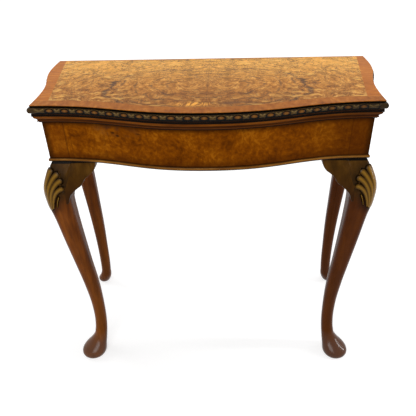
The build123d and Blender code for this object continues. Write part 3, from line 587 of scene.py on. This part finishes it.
def leg_walnut():
    """Polished leg: reddish below, olive on the knee, with a gold shell lighter on its ridges, rubbed wear
    with painted highlight, and black in its grooves and round its lobes, patina with painted shade; painted
    shade on the right-hand and rear legs, and a painted shadow right under the cockbead.
    """
    graph = new_material("leg_walnut")
    place = graph.place()
    x, y, z = graph.split(place)
    tone, clouds, pores = grain(graph, (1, 1, 0.10), 60.0, 0.2)
    graph.color = graph.ramp(tone, [(0.34, (78, 36, 6)), (0.46, (106, 54, 12)), (0.56, (122, 64, 16)),
                                    (0.68, (140, 78, 26))])
    front = graph.span(y, *LEG_FRONT_Y, 1.0, 0.0)
    graph.stain(graph.span(z, *LEG_LOW_Z, 0.35, 0.0), (134, 76, 12))
    # Painted shade on the right-hand legs
    graph.stain(graph.span(x, *LEG_RIGHT_SHADE_X, 0.0, 0.70), (64, 26, 0))
    # Painted shade on the rear legs
    graph.stain(graph.span(y, *LEG_FRONT_Y, 0.0, 0.40), (70, 34, 10))
    ragged = graph.plus(z, graph.times(clouds, LEG_KNEE_WAVE))
    olive = graph.ramp(tone, [(0.34, (60, 38, 6)), (0.50, (78, 49, 10)), (0.66, (96, 64, 20))])
    graph.stain(graph.times(graph.span(ragged, *LEG_KNEE_Z), front), olive)
    pad = graph.times(graph.span(z, *LEG_PAD_Z, 1.0, 0.0), front)
    graph.stain(graph.times(pad, 0.60), (74, 38, 8))

    relief = graph.layer("relief")
    # The shell's colour follows its relief: lighter on ridges, rubbed wear with painted highlight; darker at
    # edges, painted shade
    rub_and_shading = graph.times(graph.plus(relief, graph.times(graph.noise(place, 300.0), 0.25)), 0.9)
    gold = graph.ramp(rub_and_shading, [(0.15, (8, 5, 1)), (0.45, (58, 37, 3)), (0.80, (96, 65, 6)),
                            (1.0, (134, 96, 22))])
    graph.stain(graph.span(relief, 0.0, 0.08), gold)
    # Black in and round the shell's grooves: patina with painted shade
    graph.stain(graph.times(graph.layer("patina_and_shade"), 0.98), (6, 4, 1))
    # Painted shadow right under the cockbead
    graph.stain(graph.times(graph.span(z, *UNDER_BEAD_SHADOW_Z, 0.0, 0.98), front), (3, 2, 1))
    roughness = graph.span(tone, 0.34, 0.68, 0.25, 0.19)
    polish = graph.plus(graph.times(relief, 0.08), 0.045, graph.times(pad, 0.26))
    return graph.surface(roughness, pores, PORE_BUMP, polish)


def ear_walnut():
    """Knee blocks: the knee's olive brown, darker below, and black right under the bead, a painted shadow."""
    graph = new_material("ear_walnut")
    place = graph.place()
    z = graph.split(place)[2]
    bent = graph.drift(place, EAR_DRIFTS, 2.0)
    streaks = graph.noise(bent, 60.0, 5.0, 0.6, (1, 1, 0.3))
    graph.color = graph.ramp(streaks, [(0.32, (62, 38, 6)), (0.50, (78, 49, 10)), (0.68, (94, 62, 18))])
    graph.stain(graph.span(z, *EAR_LOW_Z, 0.80, 0.0), (50, 24, 4))
    # Painted shadow right under the cockbead
    graph.stain(graph.span(z, *UNDER_BEAD_SHADOW_Z, 0.0, 0.98), (3, 2, 1))
    pores = graph.noise(bent, 1800.0, 2.0, stretch=(1, 1, 0.2))
    return graph.surface(0.34, pores, PORE_BUMP, 0.04)


def carved_walnut():
    """The carved edge: black ground, brown eggs and olive ribbons, lighter where they stand up. The black of
    the cut ground is painted shade, and the lightening is rubbed wear with painted highlight.
    """
    graph = new_material("carved_walnut")
    place = graph.place()
    # Relief as colour: painted shade in the cuts, rubbed wear with painted highlight where raised
    wear_and_shading = graph.plus(graph.layer("relief"), graph.times(graph.noise(place, 300.0), 0.30), -0.15)
    graph.color = graph.ramp(wear_and_shading, [(0.10, (5, 4, 2)), (0.38, (46, 30, 9)), (0.70, (84, 62, 26)),
                                    (1.0, (128, 104, 60))])
    egg = graph.ramp(wear_and_shading, [(0.10, (6, 4, 2)), (0.55, (62, 34, 6)), (0.85, (106, 64, 16)),
                            (1.0, (132, 88, 34))])
    graph.stain(graph.layer("egg"), egg)
    # Painted shade towards the right end
    graph.stain(graph.span(graph.split(place)[0], *CARVED_RIGHT_SHADE_X, 0.0, 0.40), (14, 10, 5))
    return graph.surface(0.34, graph.noise(place, 900.0, 2.0), CARVED_BUMP, 0.10)


def moulding_walnut():
    """Edge of the lower leaf: grain along it; painted shade in its hollow, towards the right and at its foot,
    a painted shadow along its top under the carved edge, and a painted highlight on its bead.
    """
    graph = new_material("moulding_walnut")
    place = graph.place()
    x, _, z = graph.split(place)
    streaks = graph.noise(place, 70.0, 4.0, 0.6, (0.25, 0.25, 3.0))
    graph.color = graph.ramp(streaks, [(0.32, (92, 46, 4)), (0.50, (120, 64, 8)), (0.68, (142, 82, 20))])
    # Painted shade towards the right end
    graph.stain(graph.span(x, *LOWER_RIGHT_SHADE_X, 0.0, 0.55), (50, 24, 2))
    # Painted shade in the hollow
    ragged = graph.plus(z, graph.times(streaks, LOWER_HOLLOW_WAVE))
    graph.stain(graph.span(ragged, *LOWER_HOLLOW_SHADE_Z, 0.85, 0.0), (46, 16, 1))
    # Painted highlight on the bead
    graph.stain(graph.near(z, *LOWER_BEAD_HIGHLIGHT), (104, 58, 20))
    # Painted shadow along the top, under the carved edge
    graph.stain(graph.span(z, *LOWER_TOP_SHADOW_Z, 0.0, 0.98), (3, 2, 1))
    # Painted shade at the foot
    graph.stain(graph.span(z, *LOWER_FOOT_SHADE_Z, 0.96, 0.0), (6, 3, 1))
    return graph.surface(0.36, streaks, MOULDING_BUMP, 0.04)


def bead_walnut():
    """The cockbead: light on its upper round, with painted shade next to the quirk above it and along its
    underside.
    """
    graph = new_material("bead_walnut")
    place = graph.place()
    z = graph.split(place)[2]
    streaks = graph.noise(place, 60.0, 4.0, 0.6, (0.3, 0.3, 3.0))
    graph.color = graph.ramp(streaks, [(0.30, (104, 60, 10)), (0.50, (134, 86, 26)), (0.70, (164, 114, 50))])
    # Painted shade along the underside
    graph.stain(graph.span(z, *COCKBEAD_FOOT_SHADE_Z, 0.92, 0.0), (20, 9, 1))
    # Painted shade next to the quirk above
    graph.stain(graph.span(z, *COCKBEAD_QUIRK_SHADE_Z, 0.0, 0.85), (40, 18, 1))
    return graph.surface(0.32, streaks, PORE_BUMP, 0.08)


def baize():
    """Green wool baize with a short nap."""
    graph = new_material("baize")
    place = graph.place()
    nap = graph.noise(place, 2400.0, 3.0, 0.7)
    tone = graph.shared((nap, 0.6), (graph.noise(place, 12.0), 0.4))
    graph.color = graph.ramp(tone, [(0.30, (22, 58, 34)), (0.52, (34, 82, 48)), (0.70, (48, 100, 60))])
    return graph.surface(0.95, nap, NAP_BUMP, 0.1, sheen=0.4)


def metal(name, low, high, roughness):
    """Worn metal with fine scratches and dull patches."""
    graph = new_material(name)
    place = graph.place()
    scratches = graph.noise(place, 3000.0, 2.0, stretch=(0.15, 1, 1))
    patches = graph.noise(place, 90.0, 4.0, 0.6)
    graph.color = graph.ramp(patches, [(0.35, low), (0.65, high)])
    dull = graph.span(patches, 0.35, 0.65, roughness + 0.18, roughness)
    return graph.surface(dull, scratches, SCRATCH_BUMP, 0.5, metallic=1.0)


MATERIALS = {
    "burr_walnut": burr_walnut(),
    "crossband_walnut": straight_walnut(
        "crossband_walnut", [(0.32, (138, 74, 16)), (0.45, (166, 94, 26)), (0.56, (180, 106, 32)),
                             (0.68, (204, 132, 52))], (1, 7, 1), 30.0, 0.36, 0.03),
    "front_band": straight_walnut(
        "front_band", [(0.32, (122, 66, 18)), (0.45, (150, 86, 26)), (0.56, (164, 98, 32)),
                       (0.68, (192, 122, 50))], (2, 1, 1), 40.0, 0.36, 0.03),
    "frieze_walnut": frieze_walnut(),
    "bead_walnut": bead_walnut(),
    "leg_walnut": leg_walnut(),
    "ear_walnut": ear_walnut(),
    "carved_walnut": carved_walnut(),
    "moulding_walnut": moulding_walnut(),
    # The borders' upright edges are painted near-black: painted shade under the leaves' mouldings
    "border_walnut": straight_walnut(
        "border_walnut", [(0.30, (70, 34, 12)), (0.50, (104, 56, 22)), (0.70, (132, 80, 38))],
        (1, 5, 1), 30.0, 0.36, 0.04, edge=(5, 3, 1)),
    "rail_wood": straight_walnut(
        "rail_wood", [(0.30, (78, 50, 28)), (0.50, (112, 76, 44)), (0.70, (136, 98, 62))],
        (0.12, 1, 1), 55.0, 0.6, 0.15, broad_share=0.0),
    "baize": baize(),
    "brass": metal("brass", (150, 112, 52), (204, 166, 88), 0.28),
    "steel": metal("steel", (108, 106, 102), (158, 156, 152), 0.34),
}
OWN_MATERIALS = {"crossband_front": "front_band", "crossband_back": "front_band",
                 "upper_border": "border_walnut", "lower_border": "border_walnut"}
for row in frame["record"]["subparts"]:
    material = MATERIALS[OWN_MATERIALS.get(row["node"], row["material_slot"])]
    for slot in frame["nodes"][row["node"]].material_slots:
        slot.material = material


# Meshes
def piece(name, vertices, faces, material, body, node, layers=()):
    """A smooth closed mesh that rides on a body and stands for a node; layers are numbers for its points."""
    mesh = bpy.data.meshes.new(name)
    mesh.from_pydata([tuple(v) for v in vertices], [], [tuple(f) for f in faces])
    form = bmesh.new()
    form.from_mesh(mesh)
    bmesh.ops.recalc_face_normals(form, faces=form.faces)
    form.to_mesh(mesh)
    form.free()
    mesh.polygons.foreach_set("use_smooth", [True] * len(mesh.polygons))
    mesh.set_sharp_from_angle(angle=SHARP_ANGLE)
    for key, values in dict(layers).items():
        layer = mesh.attributes.new(key, "FLOAT", "POINT")
        layer.data.foreach_set("value", np.ravel(values).astype(np.float32))
    mesh.materials.append(MATERIALS[material])
    made = bpy.data.objects.new(name, mesh)
    bpy.context.scene.collection.objects.link(made)
    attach(made, body)
    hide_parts(node)
    return made


def tube_faces(rows, columns):
    """Faces of rings of points, numbered ring by ring, with both ends closed."""
    faces = []
    for row in range(rows - 1):
        for column in range(columns):
            after = (column + 1) % columns
            faces.append((row * columns + column, row * columns + after,
                          (row + 1) * columns + after, (row + 1) * columns + column))
    faces.append(tuple(range(columns)))
    faces.append(tuple((rows - 1) * columns + i for i in range(columns)))
    return faces


def bezier(a, b, c, d):
    """Points along a cubic curve."""
    t = np.linspace(0, 1, CURVE_POINTS)[:, None]
    a, b, c, d = (np.array(point, float) for point in (a, b, c, d))
    return (1 - t) ** 3 * a + 3 * (1 - t) ** 2 * t * b + 3 * (1 - t) * t ** 2 * c + t ** 3 * d


def front_edge(side_inset, front_inset):
    """Front edge, from the left tip to the right one."""
    narrow = TIP_HALF - side_inset
    corner_y = TIP_Y + front_inset
    pull = narrow * FRONT_CURVE_SHARE
    left = bezier((-narrow, corner_y), (-narrow + pull, corner_y),
                  (-pull, corner_y - FRONT_BULGE), (0, corner_y - FRONT_BULGE))
    return np.vstack([left, (left * (-1, 1))[-2::-1]])


def side_edge(sign, side_inset, front_inset, back):
    """A side edge, from the back to the tip."""
    wide = BACK_HALF - side_inset
    narrow = TIP_HALF - side_inset
    corner_y = TIP_Y + front_inset
    pull = (back - corner_y) * SIDE_CURVE_SHARE
    return bezier((sign * wide, back), (sign * wide, back - pull),
                  (sign * narrow, corner_y + pull), (sign * narrow, corner_y))


def lengths_along(points):
    """Length of a line from its start to each of its points."""
    return np.concatenate([[0], np.cumsum(np.linalg.norm(np.diff(points, axis=0), axis=1))])


def even(points, step):
    """The same line with its points evenly spaced, its lengths and its tangents."""
    lengths = lengths_along(points)
    count = max(2, int(round(lengths[-1] / step)) + 1)
    at = np.linspace(0, lengths[-1], count)
    line = np.column_stack([np.interp(at, lengths, points[:, i]) for i in (0, 1)])
    tangent = np.gradient(line, axis=0)
    tangent /= np.linalg.norm(tangent, axis=1)[:, None]
    return line, at, tangent


def fade_in(distance, run):
    """Nought at no distance or less, growing evenly to 1 over a run."""
    return np.clip(distance / run, 0, 1)


def hump(distance, width):
    """1 at no distance, falling off softly on both sides."""
    return np.exp(-(distance / width) ** 2)


def moulding(node, points, section, material, body, mitred, out_sign, step=MOULDING_STEP, carve=None):
    """A moulding along a line of the plan; its section goes out from the line and up, and mitred names
    its mitred ends. carve cuts it, given each point's length along its outer line, measured from the
    middle of the front and on the sides from half a pitch past the corner."""
    line, at, tangent = even(points, step)
    out = np.column_stack([tangent[:, 1], -tangent[:, 0]]) * out_sign
    cut = np.zeros((len(at), len(section), 2))
    layers = {}
    if carve:
        outer_at = lengths_along(line + out * max(away for away, _ in section))
        both_ends = len(mitred) == 2
        outer_at -= outer_at[-1] / 2 if both_ends else outer_at[-1] + EGG_PITCH / 2
        cut, layers = carve(outer_at, both_ends)
    vertices = []
    for i, (place, outward, forward) in enumerate(zip(line, out, tangent)):
        slant = 0
        if "start" in mitred:
            slant -= max(0, 1 - at[i] / MITRE_RUN)
        if "end" in mitred:
            slant += max(0, 1 - (at[-1] - at[i]) / MITRE_RUN)
        for (away, z), (cut_out, cut_up) in zip(section, cut[i]):
            plan = place + (outward + forward * slant) * (away + cut_out)
            vertices.append((plan[0], plan[1], z + cut_up))
    faces = tube_faces(len(at), len(section))
    return piece(node + "_shaped", vertices, faces, material, body, node, layers)


def three_lengths(stem, inset, back, section, material, body, **how):
    """The front, left and right lengths of a moulding."""
    for name, points, mitred, out_sign in (("front", front_edge(*inset), ("start", "end"), 1),
                                           ("left", side_edge(-1, *inset, back), ("end",), 1),
                                           ("right", side_edge(1, *inset, back), ("end",), -1)):
        moulding(f"{stem}_{name}", points, section, material, body, mitred, out_sign, **how)


# Carved edge
band_angles = np.linspace(BAND_HALF_ANGLE, -BAND_HALF_ANGLE, BAND_ROWS)
band_section = [(0, BAND_TOP_Z), (EDGE_INSET, BAND_TOP_Z)]
band_round = slice(len(band_section), len(band_section) + BAND_ROWS)
band_section += [(BAND_CENTRE_OUT + BAND_RADIUS * cos(angle), BAND_CENTRE_Z + BAND_RADIUS * sin(angle))
                 for angle in band_angles]
band_section += [(BAND_FOOT_OUT, BAND_CENTRE_Z - BAND_RADIUS * sin(BAND_HALF_ANGLE)),
                 (BAND_FOOT_OUT, BAND_FOOT_Z), (0, BAND_FOOT_Z)]


def carving(outer_at, both_ends):
    """How far each point of the carved edge is cut in, its relief, and where the eggs are."""
    along = outer_at[:, None]
    up = BAND_RADIUS * band_angles[None, :] - EGG_RISE
    from_egg = np.abs((along / EGG_PITCH + EGG_START_SHARE) % 1 - 0.5) * EGG_PITCH
    from_cross = EGG_PITCH / 2 - from_egg
    egg_reach = np.hypot(from_egg / EGG_HALF_LENGTH, up / EGG_HALF_HEIGHT)
    egg = np.sqrt(np.clip(1 - egg_reach ** 2, 0, 1))
    # Higher towards the top, so also lighter there, painted highlight, and darker below, painted shade
    egg *= EGG_HEIGHT_SHARE + EGG_TILT_SHARE * np.clip(up / EGG_HALF_HEIGHT, -1, 1)
    arch = ARCH_HEIGHT_SHARE * hump(egg_reach - ARCH_REACH_SHARE, ARCH_WIDTH_SHARE) * fade_in(up, ARCH_RUN)
    rim = RIM_HEIGHT_SHARE * hump(up - RIM_PLACE, RIM_WIDTH)

    waist = BOW_WAIST_SHARE + (1 - BOW_WAIST_SHARE) * fade_in(from_cross, BOW_HALF_LENGTH)
    bow = fade_in(BOW_HALF_HEIGHT * waist - np.abs(up), BOW_SIDE_RUN)
    bow *= fade_in(BOW_HALF_LENGTH - from_cross, BOW_END_RUN)
    from_ribbon = np.abs(np.abs(up) - RIBBON_SLOPE * from_cross) / np.hypot(1, RIBBON_SLOPE)
    ribbon = 1 - RIBBON_UPPER_SHARE + RIBBON_UPPER_SHARE * np.clip(up / RIBBON_RUN, -1, 1)
    ribbon = ribbon * hump(from_ribbon, RIBBON_HALF_WIDTH)
    bow *= BOW_HEIGHT_SHARE + RIBBON_HEIGHT_SHARE * ribbon
    height = np.maximum(np.maximum(egg, arch), np.maximum(rim, bow))

    from_corner = outer_at[-1] - outer_at
    if both_ends:
        from_corner = np.minimum(from_corner, outer_at - outer_at[0])
    plain = fade_in(CORNER_RUN - from_corner, CORNER_RUN / 3)[:, None]
    height = height * (1 - plain) + plain * CORNER_HEIGHT_SHARE
    # Cut back and near-black at the foot and top: painted shade
    height *= fade_in(up + BAND_DARK_FOOT, BAND_DARK_FOOT_RUN)
    height *= fade_in(BAND_DARK_TOP - up, BAND_DARK_TOP_RUN)

    shape = (len(outer_at), len(band_section))
    relief = np.zeros(shape)
    # The relief colours the carving: near-black where cut deepest, painted shade; lighter where raised, wear
    # with painted highlight
    relief[:, band_round] = height * (1 - CORNER_DULL_SHARE * plain)
    is_egg = np.zeros(shape)
    is_egg[:, band_round] = fade_in(EGG_TINT_SHARE - egg_reach, EGG_TINT_RUN_SHARE) * (1 - plain)
    depth = CARVING_DEPTH * (np.minimum(height, 1) - 1)
    cut = np.zeros((*shape, 2))
    cut[:, band_round] = depth[:, :, None] * np.column_stack([np.cos(band_angles), np.sin(band_angles)])
    return cut, {"relief": relief, "egg": is_egg}


three_lengths("carved_edge", (EDGE_INSET, EDGE_INSET), BACK_Y, band_section, "carved_walnut", "upper_leaf",
              step=CARVING_STEP, carve=carving)

# Lower edge
lower_section = [(away, LOWER_Z + up) for away, up in LOWER_SECTION] + [(0, LOWER_Z)]
three_lengths("lower_edge", (EDGE_INSET, EDGE_INSET), BACK_Y, lower_section, "moulding_walnut", "lower_leaf")

# Cockbead under the frieze
bead_section = [(0, LEG_HEIGHT + COCKBEAD_HEIGHT), (COCKBEAD_NECK, LEG_HEIGHT + COCKBEAD_HEIGHT)]
for step in range(COCKBEAD_STEPS + 1):
    turn = pi / 2 - pi * step / COCKBEAD_STEPS
    bead_section.append((COCKBEAD_NECK + (COCKBEAD_OUT - COCKBEAD_NECK) * cos(turn),
                         LEG_HEIGHT + COCKBEAD_HEIGHT / 2 * (1 + sin(turn))))
bead_section.append((0, LEG_HEIGHT))
three_lengths("cockbead", (CORE_SIDE_INSET, CORE_FRONT_INSET), FRAME_BACK_Y, bead_section, "bead_walnut",
              "frame")


# Legs
def leg_rows(leg):
    """Height, centre, width and corner radius of a left leg's sections."""
    corner, signs = leg["corner"], leg["signs"]
    centre = [corner[i] - signs[i] * POST_WIDTH / 2 for i in (0, 1)]
    rows = []
    for height_share, kick_share, width_share, radius_share, post_share in leg["section_shares"]:
        out = [leg["ankle"][i] * (1 - post_share) + leg["kick"] * kick_share for i in (0, 1)]
        width = leg["knee_width"] * width_share
        rows.append((LEG_HEIGHT * height_share, centre[0] + signs[0] * out[0], centre[1] + signs[1] * out[1],
                     width, width * radius_share))
    rows.append((LEG_HEIGHT, centre[0], centre[1], POST_WIDTH, POST_CORNER_RADIUS))
    return np.array(rows)


def smooth_at(rows, key):
    """Values at a key, the first column, on smooth curves through the rows of a table."""
    slopes = np.gradient(rows[:, 1:], rows[:, 0], axis=0)
    slopes[-1] = (rows[-1, 1:] - rows[-2, 1:]) / (rows[-1, 0] - rows[-2, 0])
    i = int(np.clip(np.searchsorted(rows[:, 0], key) - 1, 0, len(rows) - 2))
    span = rows[i + 1, 0] - rows[i, 0]
    t = (key - rows[i, 0]) / span
    return ((2 * t ** 3 - 3 * t ** 2 + 1) * rows[i, 1:] + (t ** 3 - 2 * t ** 2 + t) * span * slopes[i]
            + (3 * t ** 2 - 2 * t ** 3) * rows[i + 1, 1:] + (t ** 3 - t ** 2) * span * slopes[i + 1])


def reach(width, radius, turn):
    """Distance from the centre of a rounded square to its edge, at one or more turns."""
    flat = width / 2 - radius
    cosine = np.abs(np.cos(turn))
    sine = np.abs(np.sin(turn))
    straight = width / 2 / np.maximum(cosine, sine)
    along = flat * (cosine + sine)
    bent = along + np.sqrt(np.maximum(along * along - 2 * flat * flat + radius * radius, 0))
    return np.where(np.minimum(cosine, sine) * straight <= flat, straight, bent)


def knee_point(rows, height_share, angle):
    """Point on the left front knee's surface, angle degrees round from its outer corner."""
    x, y, width, radius = smooth_at(rows, LEG_HEIGHT * height_share)
    turn = radians(KNEE_DEGREES + angle)
    away = reach(width, radius, turn)
    return np.array([x + away * cos(turn), y + away * sin(turn), LEG_HEIGHT * height_share])


def from_line(points, line):
    """Distance of points from a line through 3-D points, and how far along it they lie, 0 to 1."""
    best = np.full(len(points), np.inf)
    share = np.zeros(len(points))
    for i, (a, b) in enumerate(zip(line, line[1:])):
        t = np.clip((points - a) @ (b - a) / ((b - a) @ (b - a)), 0, 1)
        away = np.linalg.norm(points - a - t[:, None] * (b - a), axis=1)
        nearer = away < best
        best[nearer] = away[nearer]
        share[nearer] = (i + t[nearer]) / (len(line) - 1)
    return best, share


def shell_relief(rows, points):
    """Height of the shell over the knee at each point, its relief, and the dark round its lobes:
    patina with painted shade.
    """
    rise = np.zeros(len(points))
    relief = np.zeros(len(points))
    outside = np.full(len(points), np.inf)
    for hand in (-1, 1):
        for root, control, tip, root_width, tip_width, tall in SHELL_LOBES:
            t = np.linspace(0, 1, LOBE_STATIONS)[:, None]
            root, control, tip = (np.array(point) for point in (root, control, tip))
            path = (1 - t) ** 2 * root + 2 * (1 - t) * t * control + t ** 2 * tip
            line = np.array([knee_point(rows, height, hand * angle) for angle, height in path])
            away, share = from_line(points, line)
            width = root_width + (tip_width - root_width) * np.sqrt(share)
            profile = np.sqrt(np.clip(1 - (away / width) ** 2, 0, 1))
            lift = tall * (LOBE_ROOT_SHARE + (1 - LOBE_ROOT_SHARE) * share) * profile
            higher = lift > rise
            rise[higher] = lift[higher]
            relief[higher] = profile[higher] ** 2
            outside = np.minimum(outside, away - width)
    gap = np.maximum(outside, 0)
    groove = hump(gap, GROOVE_WIDTH) * (outside > -GROOVE_WIDTH) * (relief < GROOVE_TOP_SHARE)
    # Dark outline and broad dark round the lobes: patina with painted shade
    patina_and_shade = np.maximum(hump(gap, PATINA_AND_SHADE_WIDTH), SHADE_SHARE * hump(gap, SHADE_WIDTH))
    patina_and_shade *= fade_in(PATINA_AND_SHADE_TOP_SHARE - relief, PATINA_AND_SHADE_TOP_SHARE)
    return rise - GROOVE_DEPTH * groove, relief ** RIDGE_POWER, patina_and_shade


def leg_lines(has_shell):
    """Heights of a leg's rings and the turns of the points on each, finer where a shell is carved."""
    if not has_shell:
        heights = np.linspace(0, LEG_HEIGHT, int(LEG_HEIGHT / COARSE_STEP))
        return heights, np.linspace(0, 2 * pi, PLAIN_POINTS + 1)[:-1]
    heights = np.concatenate([np.arange(0, SHELL_FOOT, COARSE_STEP),
                              np.arange(SHELL_FOOT, LEG_HEIGHT, FINE_STEP), [LEG_HEIGHT]])
    first = radians(KNEE_DEGREES) - OUTER_HALF_TURN
    last = radians(KNEE_DEGREES) + OUTER_HALF_TURN
    outer = np.linspace(first, last, OUTER_POINTS)
    inner = np.linspace(last, first + 2 * pi, INNER_POINTS + 2)[1:-1]
    return heights, np.concatenate([outer, inner])


def carve_shell(rows, heights, grid, relief, patina_and_shade):
    """Raises the shell on a leg's grid of points, and fills in its relief and its patina with painted shade.
    """
    normals = np.cross(np.gradient(grid, axis=1), np.gradient(grid, axis=0))
    normals /= np.linalg.norm(normals, axis=2)[:, :, None]
    high = heights >= SHELL_FOOT
    shape = grid[high].shape[:2]
    rise, gold, dark = shell_relief(rows, grid[high].reshape(-1, 3))
    grid[high] += normals[high] * rise.reshape(shape)[:, :, None]
    relief[high] = gold.reshape(shape)
    patina_and_shade[high] = dark.reshape(shape)


def leg(name, data, side, sign, has_shell):
    """A cabriole leg with its post, standing for a leg node."""
    rows = leg_rows(data)
    heights, turns = leg_lines(has_shell)
    rings = []
    for z in heights:
        x, y, width, radius = smooth_at(rows, z)
        away = reach(width, radius, turns)
        rings.append(np.column_stack([x + away * np.cos(turns), y + away * np.sin(turns),
                                      np.full(len(turns), z)]))
    grid = np.array(rings)
    relief = np.zeros(grid.shape[:2])
    patina_and_shade = np.zeros(grid.shape[:2])
    if has_shell:
        carve_shell(rows, heights, grid, relief, patina_and_shade)
    side_line = side_edge(-1, CORE_SIDE_INSET, CORE_FRONT_INSET, FRAME_BACK_Y)[::-1]
    foot = grid[-1].copy()
    foot[:, 0] = np.maximum(foot[:, 0], np.interp(foot[:, 1], side_line[:, 1], side_line[:, 0]))
    foot[:, 1] = np.minimum(foot[:, 1], FRAME_BACK_Y)
    top = foot.copy()
    top[:, 2] = RAIL_TOP
    vertices = np.vstack([grid.reshape(-1, 3), foot, top]) * (sign, 1, 1)
    post_rings = ((0, 2), (0, 0))
    layers = {"relief": np.pad(relief, post_rings), "patina_and_shade": np.pad(patina_and_shade, post_rings)}
    faces = tube_faces(len(heights) + 2, len(turns))
    made = piece(f"{name}_{side}_shaped", vertices, faces, "leg_walnut", "frame", f"{name}_{side}", layers)


# Knee blocks
def ear(name, data, along, side, sign):
    """A knee block; along is 0 for one under the front rail and 1 for one under a side rail."""
    rows = leg_rows(data)
    corner, signs = data["corner"], data["signs"]
    across = 1 - along
    inner = corner[along] - signs[along] * POST_WIDTH
    far = inner - signs[along] * (EAR_WIDTH - EAR_ROOT)
    root = inner + signs[along] * EAR_ROOT
    start = root + signs[along] * EAR_LAP
    back = corner[across] - signs[across] * EAR_DEPTH
    flat = corner[across] - signs[across] * EAR_SETBACK
    outline = np.array(EAR_OUTLINE_SHARES)
    vertices = []
    for place in np.linspace(start, far, EAR_COLUMNS):
        run = (place - start) / (far - start)
        swell = 1 - run ** 2 * (3 - 2 * run)
        bulge = (1 - run + swell) / 2
        share = np.clip((root - place) * signs[along] / EAR_WIDTH, 0, 1)
        drop = max(EAR_HEIGHT * smooth_at(outline, share)[0], EAR_LEAST_DROP)
        rounding = min(EAR_ROUND, drop / 2)
        low_z = LEG_HEIGHT - drop
        face = []
        for z in np.linspace(LEG_HEIGHT, low_z + rounding, EAR_ROWS):
            row = smooth_at(rows, z)
            knee = row[across] + signs[across] * (row[2] / 2 - EAR_SETBACK)
            face.append((flat + bulge * (knee - flat), z))
        edge, edge_z = face[-1]
        for step in range(1, EAR_ROUND_STEPS + 1):
            turn = pi / 2 * step / EAR_ROUND_STEPS
            face.append((edge - signs[across] * rounding * (1 - cos(turn)), edge_z - rounding * sin(turn)))
        face += [(back, low_z), (back, LEG_HEIGHT)]
        vertices += [(level, place, z) if along else (place, level, z) for level, z in face]
    faces = tube_faces(EAR_COLUMNS, len(face))
    piece(f"{name}_{side}_shaped", np.array(vertices) * (sign, 1, 1), faces, "ear_walnut", "frame",
          f"{name}_{side}")


for side, sign in (("left", 1), ("right", -1)):
    leg("front_leg", FRONT_LEG, side, sign, True)
    leg("rear_leg", REAR_LEG, side, sign, False)
    ear("front_ear", FRONT_LEG, 0, side, sign)
    ear("side_ear", FRONT_LEG, 1, side, sign)
    ear("rear_ear", REAR_LEG, 1, side, sign)


# Floor, lights and camera
def floor():
    """A white floor that keeps the table's soft shadow."""
    graph = new_material("floor")
    away = graph.node("VectorMath", {"operation": "LENGTH"}, {0: graph.place()}).outputs["Value"]
    lit = graph.node("BsdfDiffuse", inputs={"Color": FLOOR_LIT_SHARES}).outputs[0]
    soft = graph.node("BsdfDiffuse", inputs={"Color": FLOOR_SEEN_SHARES}).outputs[0]
    strength = graph.span(away, *FLOOR_GLOW_REACH, FLOOR_GLOW_SHARE, 1.0)
    glow = graph.node("Emission", inputs={"Color": WHITE_SHARES, "Strength": strength}).outputs[0]
    white = graph.node("AddShader", inputs={0: soft, 1: glow}).outputs[0]
    both = graph.node("MixShader", inputs={0: graph.seen(), 1: lit, 2: white}).outputs[0]
    graph.node("OutputMaterial", inputs={"Surface": both})
    corners = [(x * FLOOR_HALF, y * FLOOR_HALF, 0) for x, y in ((-1, -1), (1, -1), (1, 1), (-1, 1))]
    mesh = bpy.data.meshes.new("floor")
    mesh.from_pydata(corners, [], [(0, 1, 2, 3)])
    mesh.materials.append(graph.owner)
    made = bpy.data.objects.new("floor", mesh)
    bpy.context.scene.collection.objects.link(made)


def world():
    """Plain pale surroundings, white where they are seen."""
    graph = Graph(bpy.data.worlds.new("studio"))
    strength = graph.node("MapRange", inputs={"Value": graph.seen(), "To Min": WORLD_SHARE, "To Max": 1.0})
    background = graph.node("Background", inputs={"Color": WHITE_SHARES, "Strength": strength.outputs[0]})
    graph.node("OutputWorld", inputs={"Surface": background.outputs[0]})
    bpy.context.scene.world = graph.owner


def lamp(name, place, size, power):
    """A large soft lamp aimed at the table; size is its width and height."""
    data = bpy.data.lights.new(name, "AREA")
    data.shape = "RECTANGLE"
    data.size, data.size_y = size
    data.energy = power
    made = bpy.data.objects.new(name, data)
    made.location = place
    made.rotation_euler = (Vector(AIM) - Vector(place)).to_track_quat("-Z", "Y").to_euler()
    bpy.context.scene.collection.objects.link(made)


def camera():
    """The photograph's view."""
    forward = Vector((sin(CAMERA_YAW) * cos(CAMERA_PITCH), cos(CAMERA_YAW) * cos(CAMERA_PITCH),
                      -sin(CAMERA_PITCH)))
    level = forward.cross(Vector((0, 0, 1))).normalized()
    upright = level.cross(forward)
    right = level * cos(CAMERA_ROLL) + upright * sin(CAMERA_ROLL)
    up = upright * cos(CAMERA_ROLL) - level * sin(CAMERA_ROLL)
    data = bpy.data.cameras.new("camera")
    data.sensor_width = SENSOR_WIDTH
    data.lens = FOCAL_PIXELS * SENSOR_WIDTH / IMAGE_SIZE
    data.shift_x = (IMAGE_SIZE / 2 - AXIS_PIXEL[0]) / IMAGE_SIZE
    data.shift_y = (AXIS_PIXEL[1] - IMAGE_SIZE / 2) / IMAGE_SIZE
    made = bpy.data.objects.new("camera", data)
    made.matrix_world = Matrix.Translation(CAMERA_PLACE) @ Matrix((right, up, -forward)).transposed().to_4x4()
    bpy.context.scene.collection.objects.link(made)
    bpy.context.scene.camera = made


floor()
world()
for name, (place, size, power) in LAMPS.items():
    lamp(name, place, size, power)
camera()
bpy.context.scene.view_settings.view_transform = "Standard"
